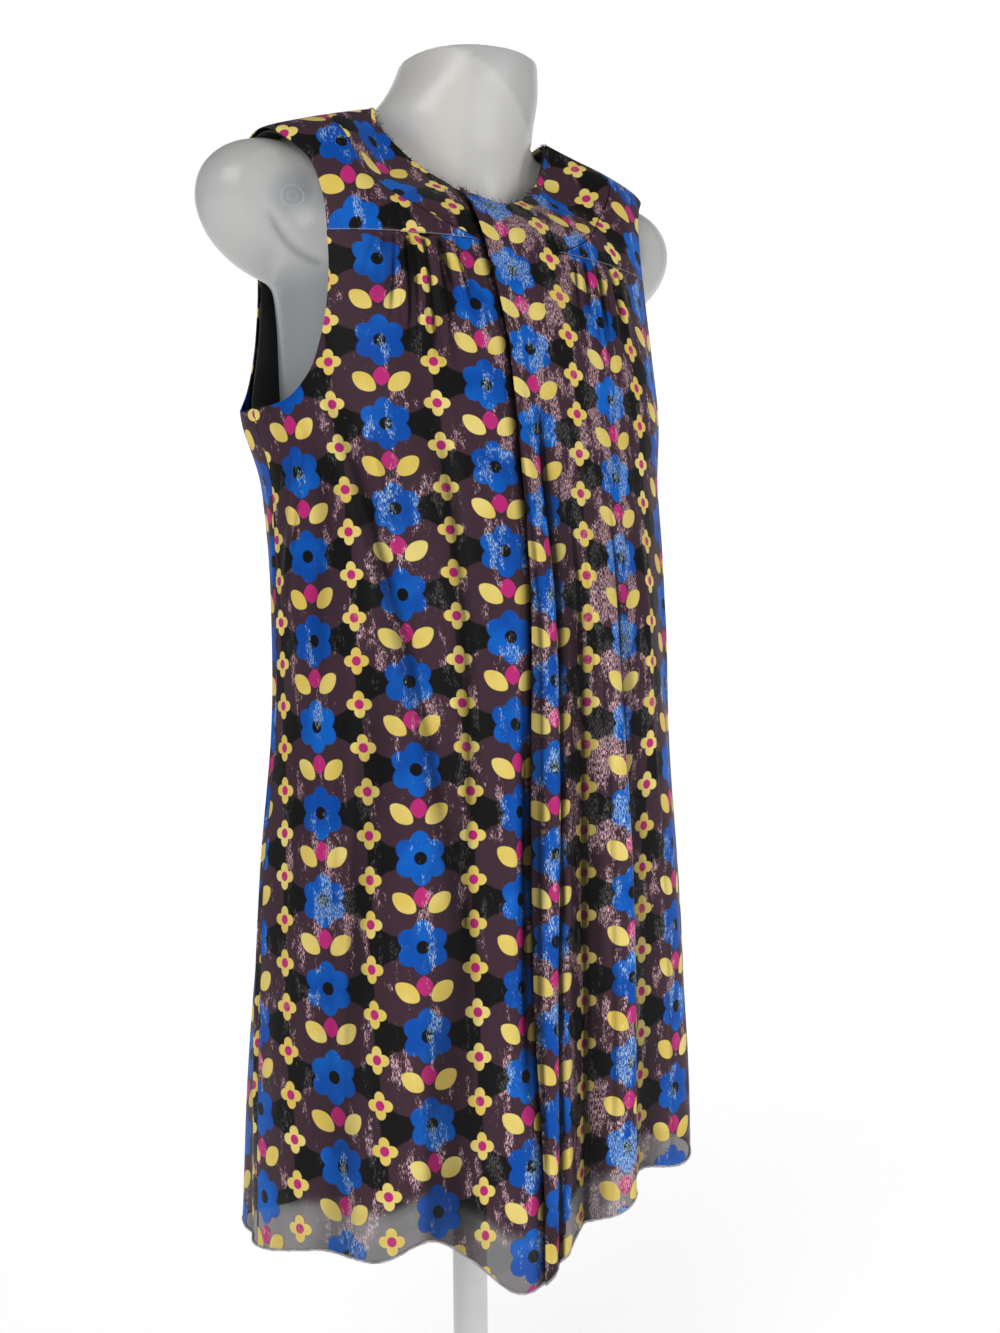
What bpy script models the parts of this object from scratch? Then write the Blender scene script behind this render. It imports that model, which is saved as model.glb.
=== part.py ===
"""Sleeveless shift dress worn by a limbless torso form on a pole stand.

Units are metres, +Z is up and the wearer's front faces -Y, so the wearer's left is +X.
The stand rests on z = 0. Heights on the garment are given as a dressmaker gives them, as a
drop below the neck point, which is where the shoulder seam meets the neckline. Places round
the body are angles in degrees: 0 is centre front, 90 the wearer's left side seam, 180 centre
back and -90 the wearer's right side seam. Sides are -1 for the wearer's right and 1 for left.
"""

import math

import bmesh
import bpy
import numpy as np
from mathutils import Matrix

# ---------------------------------------------------------------- driving dimensions
HEM_HEIGHT = 0.260
DRESS_LENGTH = 0.880
NECK_POINT_HEIGHT = HEM_HEIGHT + DRESS_LENGTH

CLOTH = 0.0010
LINING = 0.0010
SEAM_GAP = 0.0003
# How far yoke and band each stop short of the seam between them.
SEAM_SETBACK = 0.00021
LAYER_GAP = 0.0006
SEAT_GAP = 0.0003

YOKE_DROP = 0.1212
UNDERARM_DROP = 0.2510
NECK_HALF_WIDTH = 0.085
FRONT_NECK_DROP = 0.080
BACK_NECK_DROP = 0.024
FRONT_NECK_SQUARENESS = 1.5
BACK_NECK_SQUARENESS = 2.6
BAND_HALF_WIDTH = 0.132
BAND_SQUARENESS = 1.8
SHOULDER_HALF_WIDTH = 0.1815

PLEAT_UNDERLAP_COLUMNS = 3
BAND_TUCK = 0.006
PANEL_SEAM_GAP = 0.0005
PLEAT_RAMP = 0.010
PLEAT_RAMP_END = 0.0015

LINING_SHORTER_BY = 0.042
LINING_SWING = 0.8
LINING_SET_BACK = 0.0010
LINING_GAP = 0.0014
LINING_SLACK_SHOULDER = 0.0010
LINING_EASE_WAIST = 0.006
LINING_EASE_HEM = 0.006
# Drops over which the lining's slack at the shoulder dies away, and its eases grow.
LINING_SLACK_RANGE = (0.080, 0.120)
LINING_WAIST_RANGE = (0.235, 0.340)
LINING_HEM_RANGE = (0.400, 0.800)
# The lining lies deeper behind the pleat, out to this angle, and no deeper past the next one.
PLEAT_LINING_ANGLE = 28.0
PLAIN_LINING_ANGLE = 45.0

# Sections of the body are ellipses squared off a little.
SQUARENESS = 2.1
SIDE_SEAM_ANGLE = 0.06
SHOULDER_SEAM_ANGLE = 0.15
# How far the chest line sags below the underarm at the centre.
CHEST_SAG = 0.010
STEP_ANGLE = 0.25
STEP_DROP = 0.0004
SHARP_ANGLE = 40.0
# Points worked out along an edge before it is shared out among its facets.
MANY = 400
# Rounds taken to find where the centre panel's edge meets the neckline.
TOP_ROUNDS = 4
NEXT_TO_NOTHING = 1e-6

POLE_RADIUS = 0.014
BASE_RADIUS = 0.140
BASE_THICKNESS = 0.012
BASE_EDGE = 0.003
COLLAR_RADIUS = 0.030
COLLAR_HEIGHT = 0.022
FLANGE_RADIUS = 0.034
FLANGE_THICKNESS = 0.006
COLLAR_STRAIGHT = 0.0073
COLLAR_TOP_RADIUS = 0.018
FLANGE_BOTTOM_RADIUS = 0.020
FLANGE_SLOPE = 0.003
STAND_SEGMENTS = 48

# Columns and rows of the cloth's facets.
PANEL_COLUMNS = 10
FRONT_COLUMNS = 20
BACK_COLUMNS = 28
LINING_COLUMNS = 20
SKIRT_ROWS = 8
LINING_SKIRT_ROWS = 5
ARMHOLE_ROWS = 6
SHOULDER_ROWS = 6
PANEL_TOP_ROWS = 6
BAND_ROWS = 10
BAND_COLUMNS = 5
YOKE_COLUMNS = 6
# Share of a whole piece's columns, out from its centre, that end at the neckline.
NECK_SHARE = 0.6
# How much closer the rows lie where the cloth turns over the shoulder.
TURN_OVER = 2.3
BAND_TURN_OVER = 1.6
BAND_SHARES = 1.0 - np.linspace(1.0, 0.0, BAND_ROWS + 1) ** BAND_TURN_OVER


def table(columns, *rows):
    """A table with named columns, and a row for each section, edge point or fold."""
    return {name: np.array([row[i] for row in rows], float) for i, name in enumerate(columns.split())}


# Level sections of the outer cloth. Depths are measured before and behind the shoulder line.
DRESS_SECTIONS = table(
    "drop   half_width front back",
    (0.0000, 0.0850, 0.030, 0.044),
    (0.0105, 0.1200, 0.036, 0.061),
    (0.0210, 0.1510, 0.045, 0.075),
    (0.0336, 0.1824, 0.054, 0.087),
    (0.0500, 0.1900, 0.063, 0.098),
    (0.0800, 0.1880, 0.078, 0.108),
    (0.1212, 0.1815, 0.095, 0.113),
    (0.1800, 0.1800, 0.112, 0.115),
    (0.2400, 0.1820, 0.124, 0.116),
    (0.3000, 0.1735, 0.136, 0.099),
    (0.3500, 0.1710, 0.147, 0.081),
    (0.4000, 0.1700, 0.155, 0.070),
    (0.5000, 0.1705, 0.160, 0.065),
    (0.6000, 0.1790, 0.160, 0.082),
    (0.7000, 0.1845, 0.158, 0.097),
    (0.8000, 0.1885, 0.155, 0.111),
    (0.9100, 0.1900, 0.150, 0.123),
)

# How far the front lies back beside the neck, at most, by the height below the shoulder's ridge.
# The hollow is whole out to one distance from the centre plane and gone at the next, and
# likewise from front to back.
NECK_HOLLOW = table(
    "below   depth",
    (-0.0300, 0.0000),
    (-0.0150, 0.0000),
    (0.0000, 0.0000),
    (0.0100, 0.0160),
    (0.0200, 0.0240),
    (0.0300, 0.0280),
    (0.0500, 0.0285),
    (0.0600, 0.0255),
    (0.0700, 0.0190),
    (0.0800, 0.0115),
    (0.0900, 0.0055),
    (0.1050, 0.0010),
    (0.1200, 0.0000),
    (0.1350, 0.0000),
    (1.0000, 0.0000),
)
HOLLOW_REACH = (0.080, 0.135)
HOLLOW_DEPTH_RANGE = (-0.030, 0.070)

# Level sections of the torso form, from inside its neck down to its closed underside.
TORSO_SECTIONS = table(
    "drop    half_width front  back",
    (-0.0110, 0.0630, 0.0220, 0.0300),
    (0.0005, 0.0735, 0.0230, 0.0345),
    (0.0080, 0.0850, 0.0235, 0.0375),
    (0.0130, 0.0950, 0.0245, 0.0395),
    (0.0190, 0.1180, 0.0290, 0.0500),
    (0.0280, 0.1480, 0.0370, 0.0620),
    (0.0360, 0.1600, 0.0430, 0.0725),
    (0.0500, 0.1650, 0.0515, 0.0840),
    (0.0600, 0.1650, 0.0555, 0.0880),
    (0.0725, 0.1650, 0.0600, 0.0930),
    (0.0850, 0.1650, 0.0670, 0.0970),
    (0.1000, 0.1645, 0.0770, 0.0995),
    (0.1212, 0.1640, 0.0880, 0.1040),
    (0.1700, 0.1580, 0.1030, 0.1050),
    (0.2350, 0.1560, 0.1140, 0.1000),
    (0.2800, 0.1550, 0.1170, 0.0860),
    (0.3400, 0.1460, 0.1110, 0.0640),
    (0.4100, 0.1300, 0.1030, 0.0520),
    (0.4800, 0.1370, 0.1070, 0.0500),
    (0.5600, 0.1480, 0.1090, 0.0600),
    (0.6200, 0.1520, 0.1070, 0.0700),
    (0.6700, 0.1480, 0.1010, 0.0720),
    (0.7050, 0.1360, 0.0920, 0.0660),
    (0.7250, 0.1150, 0.0760, 0.0560),
    (0.7350, 0.0850, 0.0560, 0.0420),
)
NECK_SECTIONS = table(
    "drop    half_width front  back",
    (-0.0500, 0.0580, 0.0590, 0.0570),
    (-0.0300, 0.0620, 0.0625, 0.0615),
    (-0.0100, 0.0655, 0.0625, 0.0640),
    (0.0150, 0.0640, 0.0600, 0.0640),
    (0.0300, 0.0600, 0.0575, 0.0620),
    (0.0450, 0.0530, 0.0560, 0.0600),
    (0.0600, 0.0420, 0.0555, 0.0560),
    (0.0720, 0.0300, 0.0550, 0.0500),
)
TORSO_SEGMENTS = 36
NECK_SEGMENTS = 32

# Shoulder cap: an egg with its centre inside the shoulder, tipped outwards and backwards.
CAP_CENTRE = (0.1515, 0.0180, 0.0915)
CAP_RADII = (0.0770, 0.0420, 0.0540)
CAP_TIP_OUTWARDS = -17.8
CAP_TIP_BACKWARDS = 21.6
CAP_SEGMENTS = 24
CAP_RINGS = 14

# Armhole edges below the yoke level, as angles from centre front and from centre back,
# and above it as distances from the centre plane.
ARMHOLE_FRONT = table(
    "angle drop",
    (90.0, 0.2510),
    (81.0, 0.2505),
    (75.0, 0.2478),
    (69.5, 0.2405),
    (64.2, 0.2270),
    (60.8, 0.2050),
    (58.4, 0.1800),
    (56.6, 0.1500),
    (55.6, 0.1212),
)
ARMHOLE_BACK = table(
    "angle drop",
    (90.0, 0.2510),
    (82.0, 0.2505),
    (76.0, 0.2478),
    (70.5, 0.2405),
    (65.5, 0.2270),
    (62.0, 0.2050),
    (59.5, 0.1800),
    (57.5, 0.1500),
    (56.5, 0.1212),
)
ARMHOLE_SHOULDER = table(
    "drop x",
    (0.0330, 0.1815),
    (0.0420, 0.1740),
    (0.0520, 0.1645),
    (0.0640, 0.1575),
    (0.0820, 0.1530),
    (0.1000, 0.1510),
    (0.1212, 0.1506),
)

# Half the width of the centre panel, from the neckline to the hem.
PANEL_EDGE = table(
    "drop half_width",
    (0.0450, 0.0250),
    (0.0690, 0.0310),
    (0.0920, 0.0345),
    (0.1212, 0.0340),
    (0.2000, 0.0280),
    (0.2600, 0.0290),
    (0.3800, 0.0350),
    (0.9100, 0.0360),
)

# Main folds of the skirt. A fold runs from angle_top to angle_hem. It starts at one drop, is
# full at the next, begins to die away at the third and is gone at the fourth. Its widths are
# in degrees, before and after its middle. A negative height is a trough.
NEVER = 3.0
FOLDS = table(
    "angle_top angle_hem start full fade gone before after height",
    (-98, -98, 0.200, 0.245, 0.255, 0.310, 14, 12, 0.0090),
    (98, 98, 0.200, 0.245, 0.255, 0.310, 12, 14, 0.0060),
    (-66, -88, 0.260, 0.320, 0.380, 0.520, 5, 6, -0.0045),
    (-50, -62, 0.300, 0.860, 2.0, NEVER, 7, 7, -0.0050),
    (-44, -44, 0.400, 0.880, 2.0, NEVER, 8, 7, 0.0100),
    (-36, -31, 0.450, 0.880, 2.0, NEVER, 6, 6, -0.0080),
    (-18, -17, 0.340, 0.600, 0.700, 0.840, 5, 3, 0.0055),
    (-13, -12, 0.380, 0.600, 0.700, 0.820, 3, 4, -0.0045),
    (-6, -6, 0.280, 0.600, 2.0, NEVER, 4, 4, 0.0050),
    (1, 3, 0.300, 0.620, 2.0, NEVER, 4, 5, -0.0075),
    (12, 14, 0.320, 0.600, 2.0, NEVER, 5, 3, 0.0085),
    (19, 22, 0.340, 0.620, 2.0, NEVER, 4, 7, -0.0075),
    (-14, -14, 0.660, 0.900, 2.0, NEVER, 9, 9, 0.0150),
    (34, 40, 0.400, 0.860, 2.0, NEVER, 8, 8, 0.0080),
    (52, 60, 0.350, 0.860, 2.0, NEVER, 8, 8, -0.0070),
    (72, 80, 0.450, 0.880, 2.0, NEVER, 9, 8, 0.0060),
    (98, 103, 0.300, 0.860, 2.0, NEVER, 7, 7, -0.0060),
    (118, 123, 0.350, 0.860, 2.0, NEVER, 9, 8, 0.0095),
    (138, 144, 0.330, 0.860, 2.0, NEVER, 8, 8, -0.0070),
    (158, 164, 0.300, 0.860, 2.0, NEVER, 8, 8, 0.0080),
    (176, 181, 0.350, 0.880, 2.0, NEVER, 7, 7, -0.0060),
    (196, 199, 0.300, 0.860, 2.0, NEVER, 8, 9, 0.0090),
    (214, 218, 0.350, 0.860, 2.0, NEVER, 8, 7, -0.0070),
    (234, 237, 0.300, 0.860, 2.0, NEVER, 9, 9, 0.0085),
    (252, 257, 0.300, 0.880, 2.0, NEVER, 7, 7, -0.0055),
)

# Gathers let into each yoke seam, the same on either side of centre front.
GATHERS = table(
    "angle width height",
    (20.0, 2.4, 0.0022),
    (27.5, 2.4, 0.0030),
    (35.0, 2.6, 0.0022),
)
GATHER_LENGTH = 0.085
# Shares of that length at which a gather is full and at which it begins to die away.
GATHER_FULL = 0.15
GATHER_FADE = 0.30

# Drop of the hem round the body. It hangs lower before the wearer's right leg, and rides up
# on the wearer's left.
HEM_EDGE = table(
    "angle drop",
    (-230, 0.874),
    (-180, 0.882),
    (-150, 0.886),
    (-115, 0.884),
    (-88, 0.887),
    (-66, 0.878),
    (-47, 0.879),
    (-35, 0.868),
    (-25, 0.883),
    (-15, 0.906),
    (-6, 0.893),
    (2, 0.873),
    (12, 0.863),
    (17, 0.848),
    (36, 0.845),
    (48, 0.838),
    (70, 0.846),
    (95, 0.858),
    (130, 0.874),
    (180, 0.882),
    (210, 0.886),
)


# ---------------------------------------------------------------- curves and surfaces
def curve(rows, key, column, at):
    """A smooth curve through one column of a table."""
    xs, ys = rows[key], rows[column]
    at = np.asarray(at, float)
    slopes = np.gradient(ys, xs)
    low = np.clip(np.searchsorted(xs, at) - 1, 0, len(xs) - 2)
    span = xs[low + 1] - xs[low]
    t = np.clip((at - xs[low]) / span, -0.5, 1.5)
    start = ys[low] * (2 * t**3 - 3 * t**2 + 1) + span * slopes[low] * (t**3 - 2 * t**2 + t)
    end = ys[low + 1] * (3 * t**2 - 2 * t**3) + span * slopes[low + 1] * (t**3 - t**2)
    return start + end


def smooth_step(low, high, value):
    t = np.clip((value - low) / (high - low), 0.0, 1.0)
    return t * t * (3.0 - 2.0 * t)


def from_front(angle):
    """An angle brought into the range -180 to 180."""
    return (np.asarray(angle, float) + 180.0) % 360.0 - 180.0


RIDGE_DROPS = np.linspace(0.0, 0.050, MANY)
RIDGE_HALF_WIDTHS = curve(DRESS_SECTIONS, "drop", "half_width", RIDGE_DROPS)


def ridge_drop(x):
    """Drop of the shoulder seam at a distance from the centre plane."""
    return np.interp(np.abs(x), RIDGE_HALF_WIDTHS, RIDGE_DROPS)


def hollow_depth(x, y, drop):
    """How far a point of the cloth or the torso lies back, in the hollow beside the neck."""
    beside = 1.0 - smooth_step(*HOLLOW_REACH, np.abs(x))
    before = 1.0 - smooth_step(*HOLLOW_DEPTH_RANGE, y)
    return curve(NECK_HOLLOW, "below", "depth", drop - ridge_drop(x)) * beside * before


def level_point(sections, angle, drop):
    """A point on the section of a body at one drop."""
    turn = np.radians(angle)
    sine, cosine = np.sin(turn), np.cos(turn)
    half_width = curve(sections, "drop", "half_width", drop)
    before = -curve(sections, "drop", "front", drop)
    behind = curve(sections, "drop", "back", drop)
    x = half_width * np.sign(sine) * np.abs(sine) ** (2 / SQUARENESS)
    y = np.where(cosine > 0, before, behind) * np.abs(cosine) ** (2 / SQUARENESS)
    if sections is not NECK_SECTIONS:
        y = y + hollow_depth(x, y, drop)
    return np.stack(np.broadcast_arrays(x, y, NECK_POINT_HEIGHT - drop), axis=-1)


def angle_at(x, drop):
    """The angle at which the cloth is x from the centre plane, before the shoulder line."""
    share = np.clip(np.abs(x) / curve(DRESS_SECTIONS, "drop", "half_width", drop), 0.0, 1.0)
    return np.sign(x) * np.degrees(np.arcsin(share ** (SQUARENESS / 2)))


def gather_height(angle, drop):
    below = (drop - YOKE_DROP) / GATHER_LENGTH
    strength = smooth_step(0.0, GATHER_FULL, below) * (1.0 - smooth_step(GATHER_FADE, 1.0, below))
    height = 0.0
    for middle, width, lift in zip(GATHERS["angle"], GATHERS["width"], GATHERS["height"]):
        height = height + lift * np.exp(-(((np.abs(from_front(angle)) - middle) / width) ** 2))
    return height * strength


def fold_height(angle, drop):
    """How far the folds and gathers lift the cloth off its plain section."""
    height = gather_height(angle, drop)
    for i in range(len(FOLDS["height"])):
        fold = {name: column[i] for name, column in FOLDS.items()}
        run = np.clip((drop - fold["start"]) / (DRESS_LENGTH - fold["start"]), 0.0, 1.1)
        middle = fold["angle_top"] + (fold["angle_hem"] - fold["angle_top"]) * run
        away = from_front(angle - middle)
        width = np.where(away < 0, fold["before"], fold["after"])
        strength = smooth_step(fold["start"], fold["full"], drop)
        strength = strength * (1.0 - smooth_step(fold["fade"], fold["gone"], drop))
        height = height + fold["height"] * strength * np.exp(-((away / width) ** 2))
    return height


def hem_drop(angle):
    """Drop of the hem at an angle round the body."""
    return curve(HEM_EDGE, "angle", "drop", from_front(angle))


def cloth_surface(angle, drop, folds):
    """The outer face of the dress. Folds are lifted level, straight out from the section."""
    ahead = level_point(DRESS_SECTIONS, angle + STEP_ANGLE, drop)
    behind = level_point(DRESS_SECTIONS, angle - STEP_ANGLE, drop)
    along = ahead - behind
    outward = np.stack([along[..., 1], -along[..., 0], np.zeros_like(along[..., 0])], axis=-1)
    outward /= np.linalg.norm(outward, axis=-1, keepdims=True)
    lift = folds * fold_height(angle, drop)
    return level_point(DRESS_SECTIONS, angle, drop) + outward * lift[..., None]


def cloth_point(angle, drop, depth, folds):
    """A point sunk by depth under the outer face, square to it."""
    left = cloth_surface(angle + STEP_ANGLE, drop, folds)
    right = cloth_surface(angle - STEP_ANGLE, drop, folds)
    low = cloth_surface(angle, drop + STEP_DROP, folds)
    high = cloth_surface(angle, drop - STEP_DROP, folds)
    outward = np.cross(low - high, left - right)
    outward /= np.linalg.norm(outward, axis=-1, keepdims=True)
    depth = np.broadcast_to(depth, angle.shape)
    return cloth_surface(angle, drop, folds) - outward * depth[..., None]


def panel_angle(drop, share):
    """Angle of a place across the centre panel: share 0 is its right edge and 1 its left."""
    half_width = curve(PANEL_EDGE, "drop", "half_width", drop)
    return angle_at(half_width * (2.0 * share - 1.0), drop)


def tuck_depth(angle, drop):
    """How far the cloth of the wearer's right is sunk, to pass under the panel's edge."""
    x = level_point(DRESS_SECTIONS, angle, drop)[..., 0]
    past = x + curve(PANEL_EDGE, "drop", "half_width", drop)
    return (CLOTH + LAYER_GAP) * smooth_step(-PLEAT_RAMP, -PLEAT_RAMP_END, past)


def lining_depth(angle, drop):
    """Depth of the lining's outer face: free of the folds, and of the panel's second layer."""
    past_pleat = smooth_step(PLEAT_LINING_ANGLE, PLAIN_LINING_ANGLE, np.abs(from_front(angle)))
    doubled = (CLOTH + LAYER_GAP) * (1.0 - past_pleat)
    shoulder = LINING_SLACK_SHOULDER * (1.0 - smooth_step(*LINING_SLACK_RANGE, drop))
    waist = LINING_EASE_WAIST * smooth_step(*LINING_WAIST_RANGE, drop)
    hem = LINING_EASE_HEM * smooth_step(*LINING_HEM_RANGE, drop)
    return CLOTH + LINING_GAP + doubled + shoulder + waist + hem


# ---------------------------------------------------------------- outlines
def u_curve(turn, half_width, lowest, squareness):
    """Points x, drop on a U from its bottom (turn 0) to the shoulder seam (turn 1)."""
    quarter = np.asarray(turn, float) * math.pi / 2
    top = ridge_drop(half_width)
    x = half_width * np.sin(quarter) ** (2 / squareness)
    return x, top + (lowest - top) * np.maximum(np.cos(quarter), 0.0) ** (2 / squareness)


def turn_at(x, half_width, squareness):
    return math.asin((x / half_width) ** (squareness / 2)) / (math.pi / 2)


def front_neck_drop(x):
    """Drop of the front neckline at a distance from the centre plane."""
    neck_point = ridge_drop(NECK_HALF_WIDTH)
    share = (np.abs(x) / NECK_HALF_WIDTH) ** FRONT_NECK_SQUARENESS
    depth = (1.0 - share) ** (1 / FRONT_NECK_SQUARENESS)
    return neck_point + (FRONT_NECK_DROP - neck_point) * depth


def panel_top(share):
    """Drops at which the centre panel's top meets the neckline."""
    drop = FRONT_NECK_DROP
    for _ in range(TOP_ROUNDS):
        drop = front_neck_drop(curve(PANEL_EDGE, "drop", "half_width", drop) * (2.0 * share - 1.0))
    return drop


def part_way(edge, share):
    """Points x, drop at shares of the length of an edge on the upper front, given by many."""
    x, drop = edge
    points = level_point(DRESS_SECTIONS, angle_at(x, drop), drop)
    along = np.concatenate([[0.0], np.cumsum(np.linalg.norm(np.diff(points, axis=0), axis=-1))])
    at = np.asarray(share) * along[-1]
    return np.interp(at, along, x), np.interp(at, along, drop)


def band_seam():
    """Points x, drop of the seam between band and yoke, from the panel to the shoulder. Its
    lower end meets the panel's edge where the yoke seam does."""
    edge = float(curve(PANEL_EDGE, "drop", "half_width", YOKE_DROP))
    start = turn_at(edge, BAND_HALF_WIDTH, BAND_SQUARENESS)
    top = ridge_drop(BAND_HALF_WIDTH)
    lowest = top + (YOKE_DROP - top) / math.cos(start * math.pi / 2) ** (2 / BAND_SQUARENESS)
    turn = np.linspace(start, 1.0, MANY)
    seam = u_curve(turn, BAND_HALF_WIDTH, lowest, BAND_SQUARENESS)
    return part_way(seam, BAND_SHARES)


def spread(angles, drops, rows):
    """Evenly spaced places along an edge that is given by a few of its points."""
    length = np.hypot(np.radians(np.diff(angles)) * SHOULDER_HALF_WIDTH, np.diff(drops))
    along = np.concatenate([[0.0], np.cumsum(length)])
    at = np.linspace(0.0, along[-1], rows + 1)
    return np.interp(at, along, angles), np.interp(at, along, drops)


# ---------------------------------------------------------------- meshes
def grid_faces(columns, rows):
    wide = columns + 1
    return [
        (j * wide + i, j * wide + i + 1, (j + 1) * wide + i + 1, (j + 1) * wide + i)
        for j in range(rows)
        for i in range(columns)
    ]


def wall_faces(faces, count):
    """Faces of a closed wall, given those of its outer skin, whose points are followed by
    as many on its inner skin. Both skins are split along the same diagonals, so that a warped
    face keeps the wall's thickness."""
    faces = [half for a, b, c, d in faces for half in ((a, b, c), (a, c, d))]
    edges = {(f[k], f[(k + 1) % 3]) for f in faces for k in range(3)}
    rim = [(a, b) for a, b in sorted(edges) if (b, a) not in edges]
    inner = [tuple(index + count for index in reversed(face)) for face in faces]
    return faces + inner + [(b, a, a + count, b + count) for a, b in rim]


def add_solid(name, points, faces, material):
    """A named object from points and faces, turned to face outwards."""
    mesh = bpy.data.meshes.new(name)
    mesh.from_pydata([tuple(point) for point in points], [], faces)
    shaped = bmesh.new()
    shaped.from_mesh(mesh)
    bmesh.ops.recalc_face_normals(shaped, faces=shaped.faces)
    shaped.to_mesh(mesh)
    shaped.free()
    mesh.shade_smooth()
    mesh.set_sharp_from_angle(angle=math.radians(SHARP_ANGLE))
    node = bpy.data.objects.new(name, mesh)
    bpy.context.scene.collection.objects.link(node)
    node.data.materials.append(material)
    return node


def add_cloth(name, angle, drop, depth, thickness, folds, material, faces=None):
    """A wall of cloth over a patch of places, with its outer skin sunk by depth."""
    if faces is None:
        faces = grid_faces(angle.shape[1] - 1, angle.shape[0] - 1)
    outer = cloth_point(angle, drop, depth, folds).reshape(-1, 3)
    inner = cloth_point(angle, drop, depth + thickness, folds).reshape(-1, 3)
    return add_solid(name, np.concatenate([outer, inner]), wall_faces(faces, len(outer)), material)


def add_loft(name, rings, material):
    """A closed body through a pile of rings."""
    count = len(rings[0])
    faces = []
    for j in range(len(rings) - 1):
        for i in range(count):
            here, beside = j * count + i, j * count + (i + 1) % count
            faces.append((here, beside, beside + count, here + count))
    faces.append(tuple(range(count)))
    faces.append(tuple(range((len(rings) - 1) * count, len(rings) * count)))
    return add_solid(name, np.concatenate(rings), faces, material)


def turned_rings(outline, segments):
    """Rings of a turned body, from its outline of radius, z pairs."""
    turn = np.linspace(0.0, 2 * math.pi, segments, endpoint=False)
    return [
        np.stack([radius * np.cos(turn), radius * np.sin(turn), np.full(segments, z)], axis=-1)
        for radius, z in outline
    ]


def finish(name, rgb, roughness, metallic=0.0):
    material = bpy.data.materials.new(name)
    material.use_nodes = True
    shader = material.node_tree.nodes["Principled BSDF"]
    shader.inputs["Base Color"].default_value = (*rgb, 1.0)
    shader.inputs["Roughness"].default_value = roughness
    shader.inputs["Metallic"].default_value = metallic
    material.diffuse_color = (*rgb, 1.0)
    return material


# ---------------------------------------------------------------- skirt patches
def edge_places(armhole, hem, top, skirt_rows):
    """Angles and drops up the outer edge of a piece: side seam, then armhole up to top."""
    up = np.linspace(hem, UNDERARM_DROP, skirt_rows + 1)
    angles, drops = spread(armhole["angle"], armhole["drop"], ARMHOLE_ROWS)
    drops[-1] = top
    angles = np.concatenate([np.full(len(up), 90.0), angles[1:]])
    return np.minimum(angles, 90.0 - SIDE_SEAM_ANGLE), np.concatenate([up, drops[1:]])


def centre_drops(hem, top, skirt_rows):
    """Drops of the same rows at the centre line, a little below the underarm's."""
    chest = UNDERARM_DROP + CHEST_SAG
    up = np.linspace(hem, chest, skirt_rows + 1)
    return np.concatenate([up, np.linspace(chest, top, ARMHOLE_ROWS + 1)[1:]])


def swing_hem(angle, drop, skirt_rows, swing=1.0):
    """Moves the hem row on to the waved hem, and the rows above it less and less."""
    share = swing * np.linspace(1.0, 0.0, skirt_rows + 1) ** 2
    fade = np.concatenate([share, np.zeros(len(drop) - len(share))])
    return drop + fade[:, None] * (hem_drop(angle[0]) - DRESS_LENGTH)[None, :]


def front_patch(side):
    """Places of a front below the yoke seam. Its first columns are the centre panel's, as far
    as this side has them: the left front has all of it, and the right one only what lies
    hidden under the panel's edge."""
    top = YOKE_DROP + SEAM_GAP / 2
    centre = centre_drops(DRESS_LENGTH, top, SKIRT_ROWS)[:, None]
    edge_angle, edge_drop = edge_places(ARMHOLE_FRONT, DRESS_LENGTH, top, SKIRT_ROWS)
    last = PANEL_COLUMNS if side > 0 else PLEAT_UNDERLAP_COLUMNS
    columns = np.arange(last + 1)[::side]
    panel_part = panel_angle(centre, columns[None, :] / PANEL_COLUMNS)
    share = np.linspace(0.0, 1.0, FRONT_COLUMNS + 1)[None, 1:]
    start = panel_part[:, -1:]
    side_part = start + (side * edge_angle[:, None] - start) * share
    angle = np.concatenate([panel_part, side_part], axis=1)[:, ::side]
    side_drop = centre + (edge_drop[:, None] - centre) * share
    drop = np.concatenate([np.repeat(centre, last + 1, axis=1), side_drop], axis=1)[:, ::side]
    return angle, swing_hem(angle, drop, SKIRT_ROWS)


def panel_top_patch():
    """The centre panel from the yoke seam up to the neckline."""
    share = np.linspace(0.0, 1.0, PANEL_COLUMNS + 1)[None, :]
    up = np.linspace(0.0, 1.0, PANEL_TOP_ROWS + 1)[1:, None]
    start = YOKE_DROP + SEAM_GAP / 2
    drop = start + (panel_top(share) - start) * up
    return panel_angle(drop, share), drop


def whole_patch(armhole, neck_drop, columns, skirt_rows, shorter, set_back):
    """Places of a piece cut whole, from side seam to side seam and from the hem over the
    shoulders to the neckline. Angles are from its own centre line. set_back draws its
    neckline and armholes in from the outline."""
    hem = DRESS_LENGTH - shorter
    across = np.linspace(-1.0, 1.0, columns + 1)
    edge_angle, edge_drop = edge_places(armhole, hem, YOKE_DROP, skirt_rows)
    in_armhole = edge_drop < UNDERARM_DROP - SEAM_GAP
    edge_angle = edge_angle - in_armhole * math.degrees(set_back / SHOULDER_HALF_WIDTH)
    centre = centre_drops(hem, YOKE_DROP, skirt_rows)[:, None]
    angle = edge_angle[:, None] * across[None, :]
    drop = centre + (edge_drop[:, None] - centre) * across[None, :] ** 2
    squareness = FRONT_NECK_SQUARENESS if armhole is ARMHOLE_FRONT else BACK_NECK_SQUARENESS
    return shoulder_rows(angle, drop, across, neck_drop + set_back, squareness, set_back)


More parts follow.
